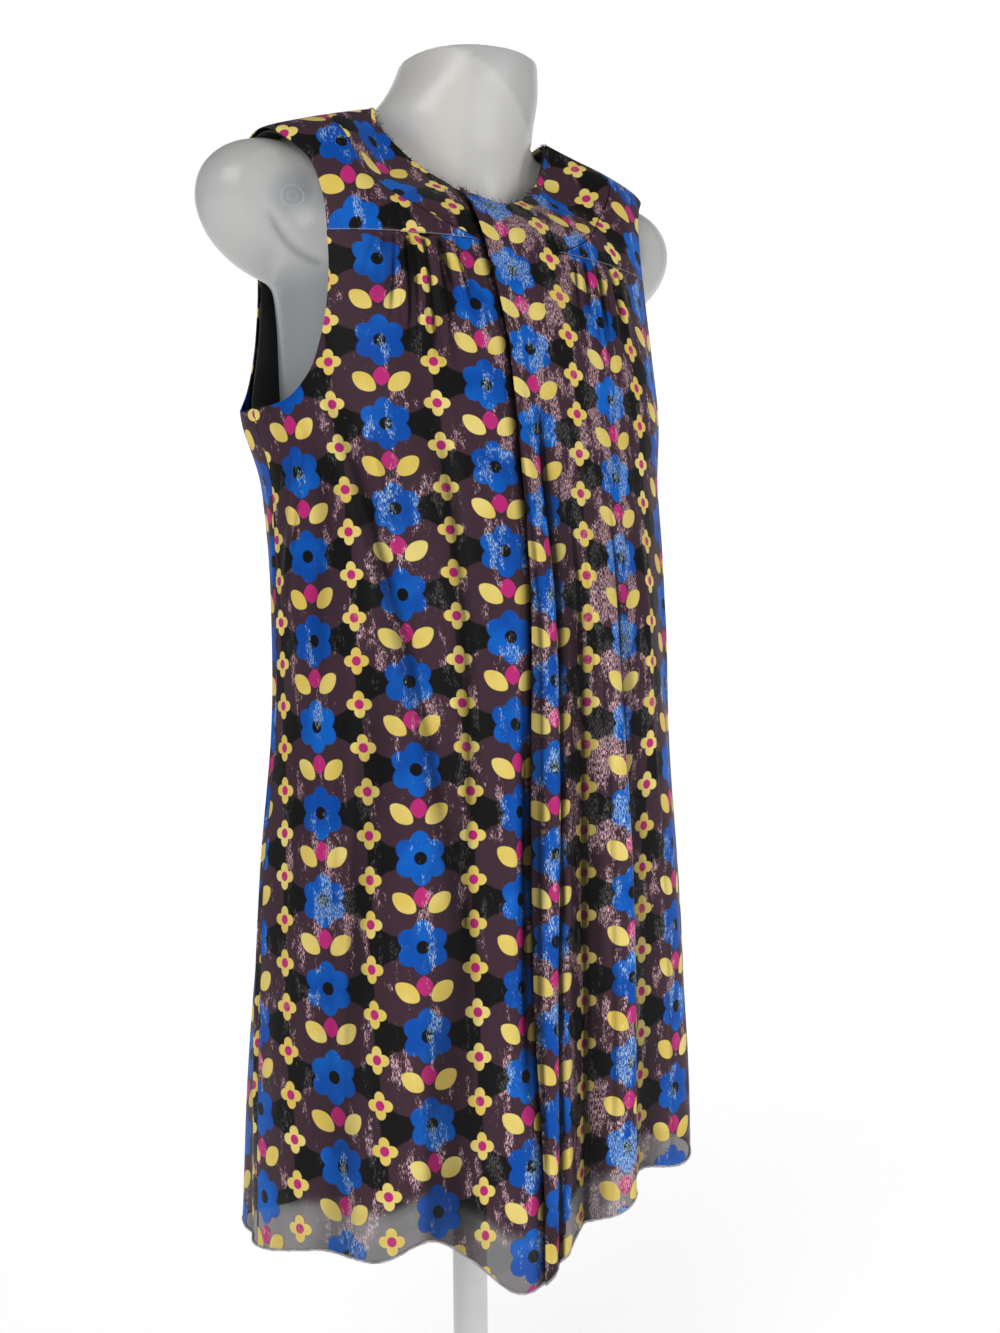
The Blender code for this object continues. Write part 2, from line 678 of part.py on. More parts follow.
def shoulder_rows(angle, drop, across, neck_drop, squareness, set_back):
    """Carries a whole piece on from the yoke level to the neckline and shoulder seams."""
    reach = np.abs(across)
    neck_half = NECK_HALF_WIDTH + set_back
    tip = SHOULDER_HALF_WIDTH - set_back
    way = np.minimum(reach / NECK_SHARE, 1.0)
    neckline = u_curve(np.linspace(0.0, 1.0, MANY), neck_half, neck_drop, squareness)
    neck_x, neck_edge = part_way(neckline, way)
    out = np.clip((reach - NECK_SHARE) / (1.0 - NECK_SHARE), 0.0, 1.0)
    out = np.where(out < NEXT_TO_NOTHING, 0.0, out)
    end_x = neck_x + (tip - neck_half) * out
    end_drop = np.where(out > 0, ridge_drop(end_x), neck_edge)
    start_x = np.abs(level_point(DRESS_SECTIONS, angle[-1], drop[-1])[:, 0])
    climb = 1.0 - np.linspace(1.0, 0.0, SHOULDER_ROWS + 1)[1:, None] ** TURN_OVER
    more_drop = YOKE_DROP + (end_drop - YOKE_DROP)[None, :] * climb
    more_x = start_x[None, :] + (end_x - start_x)[None, :] * climb**2
    armhole_x = curve(ARMHOLE_SHOULDER, "drop", "x", more_drop[:, -1:]) - set_back
    armhole_x[-1] = tip
    more_x = more_x + (armhole_x - more_x[:, -1:]) * reach[None, :] ** 3
    more_angle = np.minimum(angle_at(more_x, more_drop), 90.0 - SHOULDER_SEAM_ANGLE)
    more_angle = more_angle * np.sign(across)[None, :]
    return np.concatenate([angle, more_angle]), np.concatenate([drop, more_drop])


# ---------------------------------------------------------------- yoke and band patches
def yoke_patch():
    """Places of the left yoke, between the yoke seam, the band, the shoulder and the armhole."""
    inner_x, inner_drop = band_seam()
    inner_x = inner_x + SEAM_SETBACK
    inner_x[0] += 2 * PANEL_SEAM_GAP
    inner_drop = np.minimum(inner_drop + SEAM_SETBACK, YOKE_DROP - SEAM_GAP / 2)
    seam = YOKE_DROP - SEAM_GAP / 2
    many_drops = np.linspace(seam, ridge_drop(SHOULDER_HALF_WIDTH), MANY)
    armhole = (curve(ARMHOLE_SHOULDER, "drop", "x", many_drops), many_drops)
    outer_x, outer_drop = part_way(armhole, BAND_SHARES)
    outer_x[-1] = SHOULDER_HALF_WIDTH
    across = np.linspace(0.0, 1.0, YOKE_COLUMNS + 1)[None, :]
    x = inner_x[:, None] + (outer_x - inner_x)[:, None] * across
    drop = inner_drop[:, None] + (outer_drop - inner_drop)[:, None] * across
    drop[-1] = ridge_drop(x[-1])
    drop = np.maximum(drop, ridge_drop(x))
    return np.minimum(angle_at(x, drop), 90.0 - SHOULDER_SEAM_ANGLE), drop


def band_patch(side):
    """Places of the shaped band beside the neckline. On the wearer's right a first row runs
    on under the panel's edge."""
    outer_x, outer_drop = band_seam()
    outer_x = outer_x - SEAM_SETBACK
    outer_drop = outer_drop - SEAM_SETBACK
    edge = float(curve(PANEL_EDGE, "drop", "half_width", float(panel_top(1.0))))
    turn = np.linspace(turn_at(edge, NECK_HALF_WIDTH, FRONT_NECK_SQUARENESS), 1.0, MANY)
    neckline = u_curve(turn, NECK_HALF_WIDTH, FRONT_NECK_DROP, FRONT_NECK_SQUARENESS)
    inner_x, inner_drop = part_way(neckline, BAND_SHARES)
    across = np.linspace(0.0, 1.0, BAND_COLUMNS + 1)[None, :]
    x = inner_x[:, None] + (outer_x - inner_x)[:, None] * across
    drop = inner_drop[:, None] + (outer_drop - inner_drop)[:, None] * across
    drop[-1] = ridge_drop(x[-1])
    drop = np.maximum(drop, ridge_drop(x))
    x[0] = curve(PANEL_EDGE, "drop", "half_width", drop[0]) + PANEL_SEAM_GAP
    if side < 0:
        x = np.concatenate([x[:1] - BAND_TUCK, x])
        drop = np.concatenate([drop[:1], drop])
    return np.minimum(angle_at(x, drop), 90.0 - SHOULDER_SEAM_ANGLE), drop


# ---------------------------------------------------------------- pieces
def make_fronts(cloth):
    angle, drop = front_patch(-1)
    add_cloth("front_right", angle, drop, tuck_depth(angle, drop), CLOTH, 1.0, cloth)

    angle, drop = front_patch(1)
    faces = grid_faces(angle.shape[1] - 1, angle.shape[0] - 1)
    top_angle, top_drop = panel_top_patch()
    below = [angle.size - angle.shape[1] + i for i in range(PANEL_COLUMNS + 1)]
    for row in range(PANEL_TOP_ROWS):
        here = [angle.size + row * (PANEL_COLUMNS + 1) + i for i in range(PANEL_COLUMNS + 1)]
        faces += [(below[i], below[i + 1], here[i + 1], here[i]) for i in range(PANEL_COLUMNS)]
        below = here
    angle = np.concatenate([angle.ravel(), top_angle.ravel()])
    drop = np.concatenate([drop.ravel(), top_drop.ravel()])
    add_cloth("front_left", angle, drop, 0.0, CLOTH, 1.0, cloth, faces)


def make_yokes_and_bands(cloth):
    for side, hand in ((-1, "right"), (1, "left")):
        for name, (angle, drop) in (("yoke", yoke_patch()), ("neck_band", band_patch(side))):
            angle = side * angle
            depth = tuck_depth(angle, drop) if side < 0 else 0.0
            add_cloth(f"{name}_{hand}", angle, drop, depth, CLOTH, 1.0, cloth)


def make_back(cloth):
    angle, drop = whole_patch(ARMHOLE_BACK, BACK_NECK_DROP, BACK_COLUMNS, SKIRT_ROWS, 0.0, 0.0)
    angle = 180.0 - angle
    add_cloth("back", angle, swing_hem(angle, drop, SKIRT_ROWS), 0.0, CLOTH, 1.0, cloth)


def make_lining(cloth):
    for name, armhole, neck_drop, centre, turn in (
        ("lining_front", ARMHOLE_FRONT, FRONT_NECK_DROP, 0.0, 1.0),
        ("lining_back", ARMHOLE_BACK, BACK_NECK_DROP, 180.0, -1.0),
    ):
        angle, drop = whole_patch(
            armhole, neck_drop, LINING_COLUMNS, LINING_SKIRT_ROWS, LINING_SHORTER_BY, LINING_SET_BACK
        )
        angle = centre + turn * angle
        drop = swing_hem(angle, drop, LINING_SKIRT_ROWS, LINING_SWING)
        add_cloth(name, angle, drop, lining_depth(angle, drop), LINING, 0.0, cloth)


def body_rings(sections, segments):
    """Rings of a body at the drops of its table."""
    angles = np.linspace(0.0, 360.0, segments, endpoint=False)
    return [level_point(sections, angles, np.full(segments, drop)) for drop in sections["drop"]]


def cap_body(side, material):
    mesh = bpy.data.meshes.new("shoulder_cap")
    shaped = bmesh.new()
    x, y, drop = CAP_CENTRE
    place = Matrix.Diagonal((side, 1.0, 1.0, 1.0))
    place = place @ Matrix.Translation((x, y, NECK_POINT_HEIGHT - drop))
    place = place @ Matrix.Rotation(math.radians(CAP_TIP_BACKWARDS), 4, "X")
    place = place @ Matrix.Rotation(math.radians(CAP_TIP_OUTWARDS), 4, "Y")
    place = place @ Matrix.Diagonal((*CAP_RADII, 1.0))
    bmesh.ops.create_uvsphere(
        shaped, u_segments=CAP_SEGMENTS, v_segments=CAP_RINGS, radius=1.0, matrix=place
    )
    bmesh.ops.recalc_face_normals(shaped, faces=shaped.faces)
    shaped.to_mesh(mesh)
    shaped.free()
    mesh.shade_smooth()
    cap = bpy.data.objects.new("shoulder_cap", mesh)
    bpy.context.scene.collection.objects.link(cap)
    cap.data.materials.append(material)
    return cap


def make_form(shell):
    """Torso, neck and shoulder caps joined into one body."""
    torso = add_loft("torso_form", body_rings(TORSO_SECTIONS, TORSO_SEGMENTS), shell)
    joined = [
        add_loft("neck", body_rings(NECK_SECTIONS, NECK_SEGMENTS), shell),
        cap_body(-1, shell),
        cap_body(1, shell),
    ]
    for other in joined:
        other.hide_render = True
        other.display_type = "WIRE"
        union = torso.modifiers.new("join " + other.name, "BOOLEAN")
        union.operation = "UNION"
        union.solver = "EXACT"
        union.object = other


def make_stand(plate, tube):
    form_bottom = NECK_POINT_HEIGHT - float(TORSO_SECTIONS["drop"][-1])
    flange_top = form_bottom - SEAT_GAP
    flange_bottom = flange_top - FLANGE_THICKNESS
    collar_bottom = BASE_THICKNESS + SEAT_GAP
    collar_top = collar_bottom + COLLAR_HEIGHT
    outlines = {
        "stand_base": [
            (BASE_RADIUS - BASE_EDGE, 0.0),
            (BASE_RADIUS, BASE_EDGE),
            (BASE_RADIUS, BASE_THICKNESS - BASE_EDGE),
            (BASE_RADIUS - BASE_EDGE, BASE_THICKNESS),
        ],
        "stand_collar": [
            (COLLAR_RADIUS, collar_bottom),
            (COLLAR_RADIUS, collar_bottom + COLLAR_STRAIGHT),
            (COLLAR_TOP_RADIUS, collar_top),
        ],
        "stand_pole": [
            (POLE_RADIUS, collar_top + SEAT_GAP),
            (POLE_RADIUS, flange_bottom - SEAT_GAP),
        ],
        "stand_flange": [
            (FLANGE_BOTTOM_RADIUS, flange_bottom),
            (FLANGE_RADIUS, flange_bottom + FLANGE_SLOPE),
            (FLANGE_RADIUS, flange_top),
        ],
    }
    for name, outline in outlines.items():
        material = tube if name == "stand_pole" else plate
        add_loft(name, turned_rings(outline, STAND_SEGMENTS), material)


def main():
    for old in list(bpy.data.objects):
        bpy.data.objects.remove(old, do_unlink=True)
    printed = finish("printed_cloth", (0.05, 0.04, 0.09), 0.45)
    black = finish("lining_cloth", (0.012, 0.012, 0.014), 0.6)
    shell = finish("form_shell", (0.80, 0.80, 0.82), 0.35)
    plate = finish("stand_plate", (0.82, 0.82, 0.83), 0.30)
    tube = finish("stand_tube", (0.80, 0.80, 0.81), 0.25)
    make_fronts(printed)
    make_yokes_and_bands(printed)
    make_back(printed)
    make_lining(black)
    make_form(shell)
    make_stand(plate, tube)


main()
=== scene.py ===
"""Looks of a sleeveless shift dress worn by a limbless torso form on a pole stand.

Units are metres, +Z is up and the wearer's front faces -Y, so the wearer's left is +X. Heights on
the garment are drops below the neck point, where the shoulder seam meets the neckline. Places
round the body are angles in degrees: 0 is centre front, 90 the wearer's left side seam, 180 centre
back and -90 the wearer's right side seam. Sides are -1 for the wearer's right and 1 for left.
"""

import math

import bmesh
import bpy
import numpy as np
from bpy.props import FloatProperty, FloatVectorProperty, PointerProperty
from mathutils import Matrix, Vector


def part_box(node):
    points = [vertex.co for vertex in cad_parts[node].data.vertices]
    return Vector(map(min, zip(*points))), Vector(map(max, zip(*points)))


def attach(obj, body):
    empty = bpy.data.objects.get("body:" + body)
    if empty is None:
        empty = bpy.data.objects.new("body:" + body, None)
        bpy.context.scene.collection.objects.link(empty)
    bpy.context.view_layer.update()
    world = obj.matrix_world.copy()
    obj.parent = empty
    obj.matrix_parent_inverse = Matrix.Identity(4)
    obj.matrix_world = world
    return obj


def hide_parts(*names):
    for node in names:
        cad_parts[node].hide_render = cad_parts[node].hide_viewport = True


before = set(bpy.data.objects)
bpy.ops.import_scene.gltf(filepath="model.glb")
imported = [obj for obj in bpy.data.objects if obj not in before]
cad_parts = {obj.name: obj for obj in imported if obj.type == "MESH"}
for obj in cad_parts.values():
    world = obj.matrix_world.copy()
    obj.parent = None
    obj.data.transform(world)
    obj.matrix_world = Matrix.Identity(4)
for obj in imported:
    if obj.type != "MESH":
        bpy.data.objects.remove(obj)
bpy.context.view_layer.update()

bl_info = {
    "name": "Shift dress on a form",
    "version": (1, 0, 0),
    "blender": (4, 5, 0),
    "location": "View3D > Sidebar > Dress",
    "description": "Builds the cloth, the form and the stage of a shift dress on a torso form",
    "category": "Object",
}

# ---------------------------------------------------------------- driving dimensions
FORM_LENGTH = 0.735
NECK_POINT_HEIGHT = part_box("torso_form")[0][2] + FORM_LENGTH
DRESS_LENGTH = 0.880

CLOTH = 0.0009
LINING = 0.0010
SEAM_GAP = 0.0003
# How far yoke and band each stop short of the seam between them.
SEAM_SETBACK = 0.00021
# Between the two layers at the panel's edge.
LAYER_GAP = 0.0007

YOKE_DROP = 0.1212
UNDERARM_DROP = 0.2510
CHEST_SAG = 0.010
NECK_HALF_WIDTH = 0.085
FRONT_NECK_DROP = 0.080
BACK_NECK_DROP = 0.024
FRONT_NECK_SQUARENESS = 1.5
BACK_NECK_SQUARENESS = 2.6
BAND_HALF_WIDTH = 0.132
BAND_SQUARENESS = 1.8
SHOULDER_HALF_WIDTH = 0.1815

# How far the right band runs on under the panel's edge, the gap at that edge, the distances
# before it over which the cloth sinks, and the share of the panel that lies double.
BAND_TUCK = 0.006
PANEL_SEAM_GAP = 0.0005
PLEAT_RAMP = 0.010
PLEAT_RAMP_END = 0.0015
PLEAT_UNDERLAP = 0.3
# The pressed edge of the pleat stands off the cloth that it overlaps.
PLEAT_LIFT = 0.0014
PLEAT_LIFT_WIDTH = 0.009

LINING_SHORTER_BY = 0.042
LINING_SWING = 0.8
LINING_SET_BACK = 0.0010
LINING_GAP = 0.0014
LINING_SLACK_SHOULDER = 0.0010
LINING_EASE_WAIST = 0.006
LINING_EASE_HEM = 0.006
# Drops over which the lining's slack at the shoulder dies away, and its eases grow.
LINING_SLACK_RANGE = (0.080, 0.120)
LINING_WAIST_RANGE = (0.235, 0.340)
LINING_HEM_RANGE = (0.400, 0.800)
# The lining lies under two layers up to the first angle from centre front, and under one past
# the second.
PLEAT_LINING_ANGLE = 28.0
PLAIN_LINING_ANGLE = 45.0
LINING_LENGTH_PER_DEGREE = 0.003
# Distances past the lining's hem over which the cloth turns sheer.
PAST_LINING = (-0.002, 0.014)

# Sections of the body are ellipses squared off a little.
SQUARENESS = 2.1
# Degrees by which a piece stops short of the side and shoulder seams.
SIDE_SEAM_ANGLE = 0.06
SHOULDER_SEAM_ANGLE = 0.15
# Steps to either side by which the slope of the cloth is measured.
STEP_ANGLE = 0.25
STEP_DROP = 0.0004
# Drops, and shares of a way, that are nearer than this count as the same.
SAME_DROP = 0.0001
SAME_SHARE = 1e-6
# A curve runs on past the ends of its table by this share of a row at most.
RUN_ON = 0.5

# Columns and rows of the cloth.
PANEL_COLUMNS = 40
FRONT_COLUMNS = 110
BACK_COLUMNS = 190
LINING_COLUMNS = 60
SKIRT_ROWS = 100
LINING_SKIRT_ROWS = 30
ARMHOLE_ROWS = 28
SHOULDER_ROWS = 28
PANEL_TOP_ROWS = 16
BAND_ROWS = 40
BAND_COLUMNS = 14
YOKE_COLUMNS = 36
# Share of a whole piece's columns that end at the neckline. The rest end at the shoulders.
NECK_SHARE = 0.6
# How much closer the rows lie where the cloth turns over the shoulder.
TURN_OVER = 2.3
BAND_TURN_OVER = 1.6
BAND_SHARES = 1.0 - np.linspace(1.0, 0.0, BAND_ROWS + 1) ** BAND_TURN_OVER
# Points of a curve that is measured along its length, and rounds that find where the panel's
# edge meets the neckline.
MANY = 400
PANEL_TOP_ROUNDS = 4
# The shoulder seam is looked up as deep as this.
RIDGE_DEPTH = 0.050
SHARP_ANGLE = math.radians(50)
# The distance of a point from a finished edge that its piece doesn't have, and how many points of
# an edge are measured at once.
FAR_AWAY = 1.0
NEAREST_AT_ONCE = 40

# Threads along the raw edge of the neckline: how close they stand, how long they are at least
# and at most, how far they lean, how thick they are, how deep they are rooted, the sides of each
# and the seed of each edge's chances.
FRAY_SPACING = 0.0011
FRAY_LENGTHS = (0.0006, 0.0034)
FRAY_LEAN = 0.55
FRAY_RADIUS = 0.00022
FRAY_ROOT = 0.0006
FRAY_SIDES = 3
FRAY_SEEDS = {"front_left": 5, "right": 1, "left": 3, "back": 11}
HEM_ROLL_RADIUS = 0.0011
HEM_ROLL_SIDES = 6
# Unevenness of the rolled hem: waves of a share of its radius, by radians for each point.
HEM_RIPPLES = ((0.12, 1.9), (0.08, 0.7))
# A direction that no hem or thread runs in, from which the sides of its tube are placed.
OFF_ROUTE = (0.13, 0.21, 0.97)
# The print's lengths are measured on the cloth, upwards from the hem on the skirt, and on the
# slope of the shoulders above the yoke seam.
SHOULDER_SLOPE = math.radians(45)
YOKE_FRONT = 0.095


def table(columns, *rows):
    """A table with named columns, and a row for each section, edge point or fold."""
    return {name: np.array([row[i] for row in rows], float) for i, name in enumerate(columns.split())}


# Level sections of the outer cloth. Depths are measured before and behind the shoulder line.
DRESS_SECTIONS = table(
    "drop   half_width front back",
    (0.0000, 0.0850, 0.030, 0.044),
    (0.0105, 0.1200, 0.036, 0.061),
    (0.0210, 0.1510, 0.045, 0.075),
    (0.0336, 0.1824, 0.054, 0.087),
    (0.0500, 0.1900, 0.063, 0.098),
    (0.0800, 0.1880, 0.078, 0.108),
    (0.1212, 0.1815, 0.095, 0.113),
    (0.1800, 0.1800, 0.112, 0.115),
    (0.2400, 0.1820, 0.124, 0.116),
    (0.3000, 0.1735, 0.136, 0.099),
    (0.3500, 0.1710, 0.147, 0.081),
    (0.4000, 0.1700, 0.155, 0.070),
    (0.5000, 0.1705, 0.160, 0.065),
    (0.6000, 0.1790, 0.160, 0.082),
    (0.7000, 0.1845, 0.158, 0.097),
    (0.8000, 0.1885, 0.155, 0.111),
    (0.9100, 0.1900, 0.150, 0.123),
)

# How far the front lies back beside the neck, at most, by the height below the shoulder's ridge.
# The hollow is whole out to one distance from the centre plane and gone at the next, and
# likewise from front to back.
NECK_HOLLOW = table(
    "below   depth",
    (-0.0300, 0.0000),
    (-0.0150, 0.0000),
    (0.0000, 0.0000),
    (0.0100, 0.0160),
    (0.0200, 0.0240),
    (0.0300, 0.0280),
    (0.0500, 0.0285),
    (0.0600, 0.0255),
    (0.0700, 0.0190),
    (0.0800, 0.0115),
    (0.0900, 0.0055),
    (0.1050, 0.0010),
    (0.1200, 0.0000),
    (0.1350, 0.0000),
    (1.0000, 0.0000),
)
HOLLOW_REACH = (0.080, 0.135)
HOLLOW_DEPTH_RANGE = (-0.030, 0.070)

# Level sections of the torso form and of its neck.
TORSO_SECTIONS = table(
    "drop    half_width front  back",
    (-0.0110, 0.0630, 0.0220, 0.0300),
    (0.0005, 0.0735, 0.0230, 0.0345),
    (0.0080, 0.0850, 0.0235, 0.0375),
    (0.0130, 0.0950, 0.0245, 0.0395),
    (0.0190, 0.1180, 0.0290, 0.0500),
    (0.0280, 0.1480, 0.0370, 0.0620),
    (0.0360, 0.1600, 0.0430, 0.0725),
    (0.0500, 0.1650, 0.0515, 0.0840),
    (0.0600, 0.1650, 0.0555, 0.0880),
    (0.0725, 0.1650, 0.0600, 0.0930),
    (0.0850, 0.1650, 0.0670, 0.0970),
    (0.1000, 0.1645, 0.0770, 0.0995),
    (0.1212, 0.1640, 0.0880, 0.1040),
    (0.1700, 0.1580, 0.1030, 0.1050),
    (0.2350, 0.1560, 0.1140, 0.1000),
    (0.2800, 0.1550, 0.1170, 0.0860),
    (0.3400, 0.1460, 0.1110, 0.0640),
    (0.4100, 0.1300, 0.1030, 0.0520),
    (0.4800, 0.1370, 0.1070, 0.0500),
    (0.5600, 0.1480, 0.1090, 0.0600),
    (0.6200, 0.1520, 0.1070, 0.0700),
    (0.6700, 0.1480, 0.1010, 0.0720),
    (0.7050, 0.1360, 0.0920, 0.0660),
    (0.7250, 0.1150, 0.0760, 0.0560),
    (0.7350, 0.0850, 0.0560, 0.0420),
)
NECK_SECTIONS = table(
    "drop    half_width front  back",
    (-0.0700, 0.0540, 0.0560, 0.0540),
    (-0.0500, 0.0560, 0.0585, 0.0560),
    (-0.0350, 0.0595, 0.0610, 0.0595),
    (-0.0200, 0.0640, 0.0625, 0.0625),
    (-0.0080, 0.0685, 0.0625, 0.0640),
    (0.0020, 0.0715, 0.0620, 0.0640),
    (0.0110, 0.0710, 0.0610, 0.0640),
    (0.0200, 0.0660, 0.0600, 0.0640),
    (0.0300, 0.0600, 0.0575, 0.0620),
    (0.0450, 0.0530, 0.0560, 0.0600),
    (0.0600, 0.0420, 0.0555, 0.0560),
    (0.0720, 0.0300, 0.0550, 0.0500),
)
# The neck leans forward and a little to the wearer's left as it rises.
NECK_LEAN = table(
    "drop aside ahead",
    (-0.0700, 0.0060, 0.0100),
    (-0.0450, 0.0052, 0.0088),
    (-0.0200, 0.0020, 0.0030),
    (0.0000, -0.0036, -0.0050),
    (0.0200, -0.0036, -0.0050),
    (0.0550, 0.0000, 0.0000),
    (0.0720, 0.0000, 0.0000),
)
CAP_CENTRE = (0.1515, 0.0180, 0.0915)
CAP_RADII = (0.0770, 0.0420, 0.0540)
CAP_TIP_OUTWARDS = -17.8
CAP_TIP_BACKWARDS = 21.6
# Segments round and rings up each body that the form is run together from.
TORSO_GRID = (96, 110)
NECK_GRID = (72, 40)
CAP_GRID = (64, 48)
FORM_VOXEL = 0.0042
FORM_SMOOTHING = 9
NECK_TOP_HEIGHT = NECK_POINT_HEIGHT + 0.0465
NECK_RIM_BEVEL = 0.0012
NECK_RIM_SEGMENTS = 2
# The hollow between cap and chest that is filled: its middle, as distance out, y and drop, the
# radii between which the filling dies away, and the distances out over which it begins.
CAP_HOLLOW = (0.158, -0.034, 0.094)
CAP_HOLLOW_RADII = (0.022, 0.050)
CAP_HOLLOW_OUT = (0.150, 0.156)
CAP_HOLLOW_ROUNDS = 160
# Marks moulded into each shoulder cap, by their distance out from the centre plane and their
# drop: the ring and dimple of the arm socket, and the crease below it.
SOCKET = (0.1640, 0.0885)
SOCKET_RADIUS = 0.0082
SOCKET_LINE = 0.0011
SOCKET_DIMPLE = 0.0038
CAP_CREASE_START = (0.1840, 0.0970)
CAP_CREASE_END = (0.1500, 0.1410)
CAP_CREASE_WIDTH = 0.0040
CAP_CREASE_DEPTH = 0.0034
CAP_CREASE_LINE = 0.0044
# Shares of its length past which the crease gets no shallower towards its ends, how bluntly it
# ends, and the shares over which its dark line of painted shade begins.
CAP_CREASE_SHARES = (0.03, 0.9)
CAP_CREASE_BLUNTNESS = 0.6
CAP_CREASE_FADE = (0.0, 0.3)
# Places y between which the marks die away towards the back.
MARKS_REACH = (0.010, 0.024)
# The cap is in the shade about the socket, by its distance out, drop and radius, as far back as
# a place y, and the side of the chest is in the shade below the cap.
CAP_SHADE = (0.1610, 0.0860, 0.0270)
CAP_SHADE_BACK = 0.03
CHEST_SHADE_DROPS = (0.110, 0.165)
CHEST_SHADE_OUT = (0.100, 0.135)
# The caps are darker than the neck all over, mixed towards the shaded colour of the shell.
CAP_TONE = 0.45
CAP_TONE_OUT = (0.100, 0.150)
# The planes of the neck: one turned from the light, above a line from and to a place x, drop,
# and a fainter one to the wearer's left of an edge beside the throat. Both are at the front.
NECK_PLANE_FROM = (-0.0216, -0.0346)
NECK_PLANE_TO = (0.0189, -0.0090)
NECK_PLANE_EDGE = (-0.0015, 0.0040)
NECK_PLANE_TONE = 0.48
THROAT_EDGE = (-0.0300, -0.0200)
THROAT_TONE = 0.16
NECK_FRONT = (-0.030, 0.010)

ARMHOLE_FRONT = table(
    "angle drop",
    (90.0, 0.2510),
    (81.0, 0.2505),
    (75.0, 0.2478),
    (69.5, 0.2405),
    (64.2, 0.2270),
    (60.8, 0.2050),
    (58.4, 0.1800),
    (56.6, 0.1500),
    (55.6, 0.1212),
)
ARMHOLE_BACK = table(
    "angle drop",
    (90.0, 0.2510),
    (82.0, 0.2505),
    (76.0, 0.2478),
    (70.5, 0.2405),
    (65.5, 0.2270),
    (62.0, 0.2050),
    (59.5, 0.1800),
    (57.5, 0.1500),
    (56.5, 0.1212),
)
ARMHOLE_SHOULDER = table(
    "drop x",
    (0.0330, 0.1815),
    (0.0420, 0.1740),
    (0.0520, 0.1645),
    (0.0640, 0.1575),
    (0.0820, 0.1530),
    (0.1000, 0.1510),
    (0.1212, 0.1506),
)
PANEL_EDGE = table(
    "drop half_width",
    (0.0450, 0.0250),
    (0.0690, 0.0310),
    (0.0920, 0.0345),
    (0.1212, 0.0340),
    (0.2000, 0.0280),
    (0.2600, 0.0290),
    (0.3800, 0.0350),
    (0.9100, 0.0360),
)

# Folds of the skirt. A fold runs from angle_top to angle_hem. It starts at one drop, is full at
# the next, begins to die away at the third and is gone at the fourth. Its widths are in degrees,
# before and after its middle. A negative height is a trough.
NEVER = 3.0
FOLDS = table(
    "angle_top angle_hem start full fade gone before after height",
    (-98, -98, 0.200, 0.245, 0.255, 0.310, 14, 12, 0.0090),
    (98, 98, 0.200, 0.245, 0.255, 0.310, 12, 14, 0.0060),
    (-66, -88, 0.260, 0.320, 0.380, 0.520, 5, 6, -0.0045),
    (-50, -62, 0.300, 0.860, 2.0, NEVER, 7, 7, -0.0050),
    (-44, -44, 0.400, 0.880, 2.0, NEVER, 8, 7, 0.0100),
    (-36, -31, 0.450, 0.880, 2.0, NEVER, 6, 6, -0.0080),
    (-18, -17, 0.340, 0.600, 0.700, 0.840, 5, 3, 0.0055),
    (-13, -12, 0.380, 0.600, 0.700, 0.820, 3, 4, -0.0045),
    (-6, -6, 0.280, 0.600, 2.0, NEVER, 4, 4, 0.0050),
    (1, 3, 0.300, 0.620, 2.0, NEVER, 4, 5, -0.0075),
    (12, 14, 0.320, 0.600, 2.0, NEVER, 5, 3, 0.0085),
    (19, 22, 0.340, 0.620, 2.0, NEVER, 4, 7, -0.0075),
    (-14, -14, 0.660, 0.900, 2.0, NEVER, 9, 9, 0.0150),
    (34, 40, 0.400, 0.860, 2.0, NEVER, 8, 8, 0.0080),
    (52, 60, 0.350, 0.860, 2.0, NEVER, 8, 8, -0.0070),
    (72, 80, 0.450, 0.880, 2.0, NEVER, 9, 8, 0.0060),
    (98, 103, 0.300, 0.860, 2.0, NEVER, 7, 7, -0.0060),
    (118, 123, 0.350, 0.860, 2.0, NEVER, 9, 8, 0.0095),
    (138, 144, 0.330, 0.860, 2.0, NEVER, 8, 8, -0.0070),
    (158, 164, 0.300, 0.860, 2.0, NEVER, 8, 8, 0.0080),
    (176, 181, 0.350, 0.880, 2.0, NEVER, 7, 7, -0.0060),
    (196, 199, 0.300, 0.860, 2.0, NEVER, 8, 9, 0.0090),
    (214, 218, 0.350, 0.860, 2.0, NEVER, 8, 7, -0.0070),
    (234, 237, 0.300, 0.860, 2.0, NEVER, 9, 9, 0.0085),
    (252, 257, 0.300, 0.880, 2.0, NEVER, 7, 7, -0.0055),
)

# A fold runs on to this share of its length, a little below the hem line.
FOLD_RUN_MOST = 1.1

